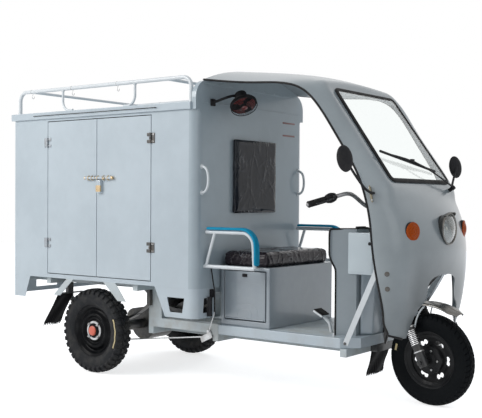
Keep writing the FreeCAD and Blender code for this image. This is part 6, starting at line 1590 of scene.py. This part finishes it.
def hook(x, y, z):
    """An S: a closed eye round the rail above, a shank, and an open bow below."""
    eye = np.linspace(-0.2 * np.pi, 1.35 * np.pi, 18)
    bow = np.linspace(-1.0 * np.pi, 0.15 * np.pi, 16)
    upper = at(x, y + 0.0135 * np.cos(eye), z + 0.0135 * np.sin(eye))[::-1]
    lower = at(x, y + 0.010 + 0.010 * np.cos(bow), z - 0.034 + 0.010 * np.sin(bow))
    return tube(spline(np.vstack([upper[::3], lower[::3]]), 40), 0.0017, 8)


RAIL_SIDE = 0.500  # the rack's rails on both sides
RAILS = (-RAIL_SIDE, RAIL_SIDE)
hooks = [hook(x, y, 1.765) for y, xs in zip(RAILS, ((-0.560, -0.180, 0.215), (-0.350, 0.300))) for x in xs]
piece("rack_hooks", hooks, steel, angle=60)
weld = mm((-4, 8.5), (0, 11.5), (4, 8.5))
foot_plate = mm((0, 0), (0, 24), (3, 24), (4, 14.5), (12, 12.5))
feet = [turned(weld, at(x, y, 1.752), UP, 16) for x in (-0.263, 0.363) for y in RAILS]
feet += [turned(foot_plate, at(x, y, 1.620), UP, 24) for x in (-0.674, 0.800) for y in RAILS]
piece("rack_feet", feet, tube_white)

# Clips over the rear doors' lock bar, rivets down both edges of the rear frame, and the doors' hinges.
clip_x = REAR_FACE - 0.004 - 0.0130 * np.sin(np.linspace(0, np.pi, 12))
clip_lines = [at(clip_x, np.linspace(-0.076, -0.044, 12), z) for z in (0.685, 1.175, 1.462)]
clips = [tube(line, 0.006, 8, flat=0.4, up=UP) for line in clip_lines]
piece("lock_clips", clips, steel, "rear_door_right")
rivets = [at(REAR_FACE - 0.0002, y, z) for y in (-0.5255, 0.5255) for z in np.linspace(0.64, 1.53, 8)]
piece("rear_rivets", screw_heads(rivets, -AHEAD, 0.0042), box_paint)
for side, sign in SIDE.items():
    pin, door = sign * 0.5025, f"rear_door_{side}"
    low, high = sorted((pin - sign * NEAR_PIN, pin - sign * LEAF_END))
    for label, height in HINGE_HEIGHTS.items():
        levels = [height + step for step in SCREW_STEPS]
        leaves = [rounded(at(REAR_FACE - 0.0042, low, z - 0.0095), at(REAR_FACE + 0.001, high, z + 0.0095), 0.0018, 3)
                  for z in levels]
        piece(f"rear_hinge_{side}_{label}", leaves, hinge_grey, door, 35)
        spots = [at(REAR_FACE - 0.0040, pin - sign * reach, z) for z in levels for reach in SCREW_REACH]
        piece(f"rear_hinge_screws_{side}_{label}", screw_heads(spots, -AHEAD, 0.0034), steel, door, 30)
print("rack and rear ready")

# %% [markdown]
# Mud flaps end in a row of teeth. Each flap is a thin sheet bent along its length; the teeth are a
# triangle wave in its lower edge.

# %% Mud flaps


def flap(top, foot, width, teeth, sway, inset):
    """Rows run down the flap and columns across it; the last rows reach further where a tooth is."""
    rows, columns = 20, teeth * 6 + 1
    down = np.linspace(0, 1, rows)[:, None]
    across = np.linspace(-1, 1, columns)[None]
    tooth = np.abs(((across + 1) * teeth / 2 + 0.5) % 1 - 0.5) * 2
    length = 1 - 0.12 * (1 - tooth)
    taper = 1 - inset * (1 - down)
    spots = top + (foot - top) * (down * length)[..., None]
    bow = sway * np.sin(down * np.pi * 0.9) + 0.004 * np.sin(across * 4 + down * 5)
    return grid(spots + LEFT * (across * width / 2 * taper)[..., None] - AHEAD * bow[..., None])


flaps = [flap(at(-0.262, 0.472 * sign, 0.474), at(-0.384, 0.480 * sign, 0.262), 0.140, 11, 0.006, 0.16)
         for sign in (-1, 1)]
flaps.append(flap(at(1.738, 0, 0.262), at(1.706, 0, 0.124), 0.185, 12, 0.004, 0.0))
flap_piece = piece("mud_flaps_soft", flaps, flap_rubber, angle=60)
baked(thickened(flap_piece, 0.0042))
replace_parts(flap_piece, "mud_flaps")
hangers = []
for sign in (-1, 1):
    low, high = sorted((sign * 0.532, sign * 0.320))
    hangers.append(rounded(at(-0.285, low, 0.472), at(-0.245, high, 0.478), 0.002, 3))
piece("flap_hangers", hangers, black_steel)
print("mud flaps ready")

# %% [markdown]
# ## Cab furniture
#
# The leg shield's sheet keeps its CAD shape. Rubber trims its wavy edge, and locks, bolts, ribs and
# embossed lines finish the panels.

# %% Leg shield trim
shield_z = mm(362, 420, 500, 600, 690, 714, 747, 780, 805, 860, 915)
shield_y = mm(275, 275, 275, 275, 275, 275.2, 285, 294.8, 295, 295, 295)
SHIELD_TOP = mm((1594, 291, 922.5), (1612, 277, 923.2), (1706, 220, 923.5), (1711, 120, 923.5), (1711, 0, 923.5))
plan_x = 1.600 + (0.285 - shield_y) / (0.285 - 0.225) * 0.114
plan_x = np.where(shield_y > 0.285, 1.600 - (shield_y - 0.285) / 0.045 * 0.040, plan_x)
edge_trims = []
for sign in (-1, 1):
    side_edge, top_edge = at(plan_x - 0.003, sign * shield_y, shield_z), on_side(SHIELD_TOP, sign)
    edge_trims.append(tube(spline(np.vstack([side_edge, top_edge]), 110), 0.0052, 10))
piece("shield_trim", edge_trims, rubber, angle=60)

# The box on the shield: a door panel with its own edge and a round lock; a small black catch on top.
LOCK_FACE = mm((0, 0), (0, 8.5), (4, 8.5), (5.5, 7), (5.5, 0))
side_panels, locks = [], []
for sign in (-1, 1):
    for inner, outer, rear, front, foot, top, edge, cells in ((0.2245, 0.246, 1.672, 1.832, 0.686, 0.906, 0.005, 4),
                                                              (0.245, 0.2485, 1.684, 1.820, 0.698, 0.893, 0.0016, 3)):
        low, high = sorted((inner * sign, outer * sign))
        side_panels.append(rounded(at(rear, low, foot), at(front, high, top), edge, cells))
    locks.append(turned(LOCK_FACE, at(1.805, 0.248 * sign, 0.850), sign * LEFT, 20))
piece("store_panels", side_panels, shield_paint)
piece("store_locks", locks, black_plastic)
catch = [rounded(at(1.690, -0.200, 0.9270), at(1.712, -0.120, 0.9370), 0.004),
         rounded(at(1.694, -0.120, 0.9270), at(1.708, -0.085, 0.9320), 0.002)]
piece("shield_catch", catch, black_plastic)

# The pressed cover below the box, with two upright folds.
COVER_HALF, COVER_FOOT, COVER_TOP = 0.19, 0.362, 0.688
fold_y, fold_z = lattice(np.linspace(-COVER_HALF, COVER_HALF, 60), np.linspace(COVER_FOOT, COVER_TOP, 24))
fold = np.clip((COVER_HALF - np.abs(fold_y)) / 0.055, 0, 1) ** 0.8
fold_x = 1.720 + 0.060 * fold * (0.70 + 0.30 * (fold_z - COVER_FOOT) / (COVER_TOP - COVER_FOOT))
baked(thickened(piece("head_cover", grid(at(fold_x, fold_y, fold_z)), box_paint, angle=35), 0.003))
print("shield trim ready")

# %% [markdown]
# The seat box door carries a lock and two raised lines: an arch over a plain field, pressed into the
# sheet as in the photograph. Its lettering is left off.

# %% Seat box and floor details
DOOR_Y = -0.327


def raised_line(points, width=0.0030):
    """A rounded bead along a line on the door's face."""
    x, z = points.T
    return tube(spline(at(x, DOOR_Y + 0.0006, z), 50), width, 8, flat=0.55, up=LEFT)


OUTER_ARCH = mm((955, 405), (955, 440), (965, 470), (990, 485), (1020, 487), (1052, 487), (1085, 487), (1115, 482),
                (1137, 466), (1145, 438), (1145, 405))
INNER_ARCH = mm((1000, 405), (1000, 430), (1008, 450), (1030, 456), (1052, 456), (1075, 456), (1095, 449), (1102, 430),
                (1102, 405))
TOP_LINE = mm((925, 604), (960, 606), (1052, 607), (1150, 606), (1182, 604))
beads = [raised_line(OUTER_ARCH), raised_line(INNER_ARCH), raised_line(TOP_LINE, 0.0022)]
piece("seat_door_beads", beads, seat_shaded_paint, "seat_box_door", 60)
lock_x, lock_z = 1.0535, 0.650
plate_low = at(lock_x - 0.017, DOOR_Y - 0.0045, lock_z - 0.009)
plate_high = at(lock_x + 0.017, DOOR_Y + 0.001, lock_z + 0.009)
barrel = mm((0, 0), (0, 9.2), (9, 9.2), (10.5, 7.5), (10.5, 0))
lock_shapes = [rounded(plate_low, plate_high, 0.0035, 4), turned(barrel, at(lock_x, DOOR_Y, lock_z), -LEFT, 24)]
piece("seat_lock_set", lock_shapes, black_plastic, "seat_box_door")
ring_line = [(0.912, 0.400), (1.195, 0.400), (1.195, 0.672), (0.912, 0.672)]
door_ring = round_corners(ring_line, 0.012, 6)
fold_x, fold_z = (door_ring * [0.985, 0.975] + np.array([lock_x, 0.536]) * [0.015, 0.025]).T
fold_bar = tube(at(fold_x, DOOR_Y + 0.0002, fold_z), 0.0022, 8, closed=True, flat=0.6, up=LEFT)
piece("seat_door_fold", fold_bar, seat_shaded_paint, "seat_box_door", 60)

# Pedal: rubber ribs across its pad.
pedal_foot, pedal_top = at(1.506, -0.200, 0.446), at(1.452, -0.200, 0.474)
slope = unit(pedal_top - pedal_foot)
lift = np.array([-slope[2], 0, slope[0]])
lift = lift if lift[2] > 0 else -lift
pad_middle = (pedal_foot + pedal_top) / 2 + lift * 0.0075
pedal_rubber = [rounded([-0.032, -0.037, -0.003], [0.032, 0.037, 0.003], 0.003, 4)]
pedal_rubber += [rounded([x - 0.0026, -0.034, 0.002], [x + 0.0026, 0.034, 0.0062], 0.0018, 3)
                 for x in np.linspace(-0.024, 0.024, 6)]
slant = np.stack([slope, LEFT, lift])
pedal_rubber = [(points @ slant + pad_middle, faces) for points, faces in pedal_rubber]
piece("pedal_rubber", pedal_rubber, rubber)

# A ribbed mat lies on the cab floor between the seat box and the shield.
MAT_HALF, MAT_RIBS = 0.315, 26
mat_x, mat_y = lattice(np.linspace(1.235, 1.585, 10), np.linspace(-MAT_HALF, MAT_HALF, 260))
mat_z = 0.3606 + 0.0012 * step_up(np.sin(mat_y / MAT_HALF * np.pi * MAT_RIBS), -0.2, 0.4)
mat_z[:, (0, -1)] = mat_z[(0, -1), :] = 0.3598
piece("floor_ribs", grid(at(mat_x, mat_y, mat_z)), chassis_paint)
print("cab floor ready")

# %% [markdown]
# Bolts hold the moulding to its stays, the stays to the floor, and the armrests to the seat box.

# %% Bolts
BOLT_HEAD = mm((0, 0), (0, 12.5), (1.5, 12.5), (2, 8), (6, 7.5), (7, 0))
bolt_shapes = []
for sign in (-1, 1):
    for x, z in ((2.002, 0.712), (2.002, 0.648)):
        rows = np.linalg.norm(skin_points - at(x, 0.42 * sign, z), axis=-1)
        row, column = np.unravel_index(np.argmin(rows), rows.shape)
        spot = skin_points[row, column]
        bolt_shapes.append(turned(BOLT_HEAD, spot, [0.45, sign, 0], 14))
    bolt_shapes.append(nut(at(1.722, 0.350 * sign, 0.335), sign * LEFT, 0.0085, 0.006))
    bolt_shapes += [nut(at(x, 0.335 * sign, 0.6975), UP, 0.0065, 0.005) for x in (0.909, 1.155)]
piece("cab_bolts", bolt_shapes, hinge_dark, angle=30)

# The handles' round feet on the front wall.
HANDLE_SIDES = (-0.482, 0.482)
FOOT_LINE = mm((0, 0), (0, 14.5), (3, 14), (4, 8.5), (8, 7.2))
BOW_X, BOW_Z = mm((862, 1112), (878, 1113), (897, 1124), (909, 1150), (912, 1186),
                  (909, 1222), (897, 1248), (878, 1259), (862, 1260)).T
handles = [turned(FOOT_LINE, at(0.864, y, z), AHEAD, 22) for y in HANDLE_SIDES for z in (1.112, 1.260)]
handles += [tube(spline(at(BOW_X, y, BOW_Z), 60), 0.0075, 16) for y in HANDLE_SIDES]
handle_piece = piece("handle_bows", handles, tube_white)
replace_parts(handle_piece, "grab_handles")

# A flat bar stays the moulding's arch from the frame bar behind it.
STRUT = mm((1955, 13, 470), (2022, 17, 566), (2056, 26, 625), (2088, 35, 688))
strut = tube(spline(on_side(STRUT, 1), 24), 0.0105, 12, flat=0.5, up=AHEAD)
pad = rounded(at(2.070, 0.012, 0.686), at(2.097, 0.058, 0.699), 0.003)
piece("arch_strut", [strut, pad], hinge_grey)

# The brake cable in its black sleeve runs from the pedal's pivot up to the armrest.
cable_end = at(0.893, -0.430, 0.688)
cable_corner, cable_foot = at(0.892, -0.398, 0.560), at(0.892, -0.398, 0.440)
share = np.linspace(0, 1, 14)
bend_from, bend_to = (cable_corner + unit(spot - cable_corner) * 0.012 for spot in (cable_foot, cable_end))
weights = np.column_stack([(1 - share) ** 2, 2 * share * (1 - share), share**2])
cable_bend = weights @ np.stack([bend_from, cable_corner, bend_to])
lower_run, upper_run = np.linspace(cable_foot, bend_from, 12), np.linspace(bend_to, cable_end, 12)
cable_line = np.vstack([lower_run[:-1], cable_bend, upper_run[1:]])
cable = piece("brake_cable", tube(cable_line, 0.0042, 10), black_plastic, angle=60)
print("bolts ready")
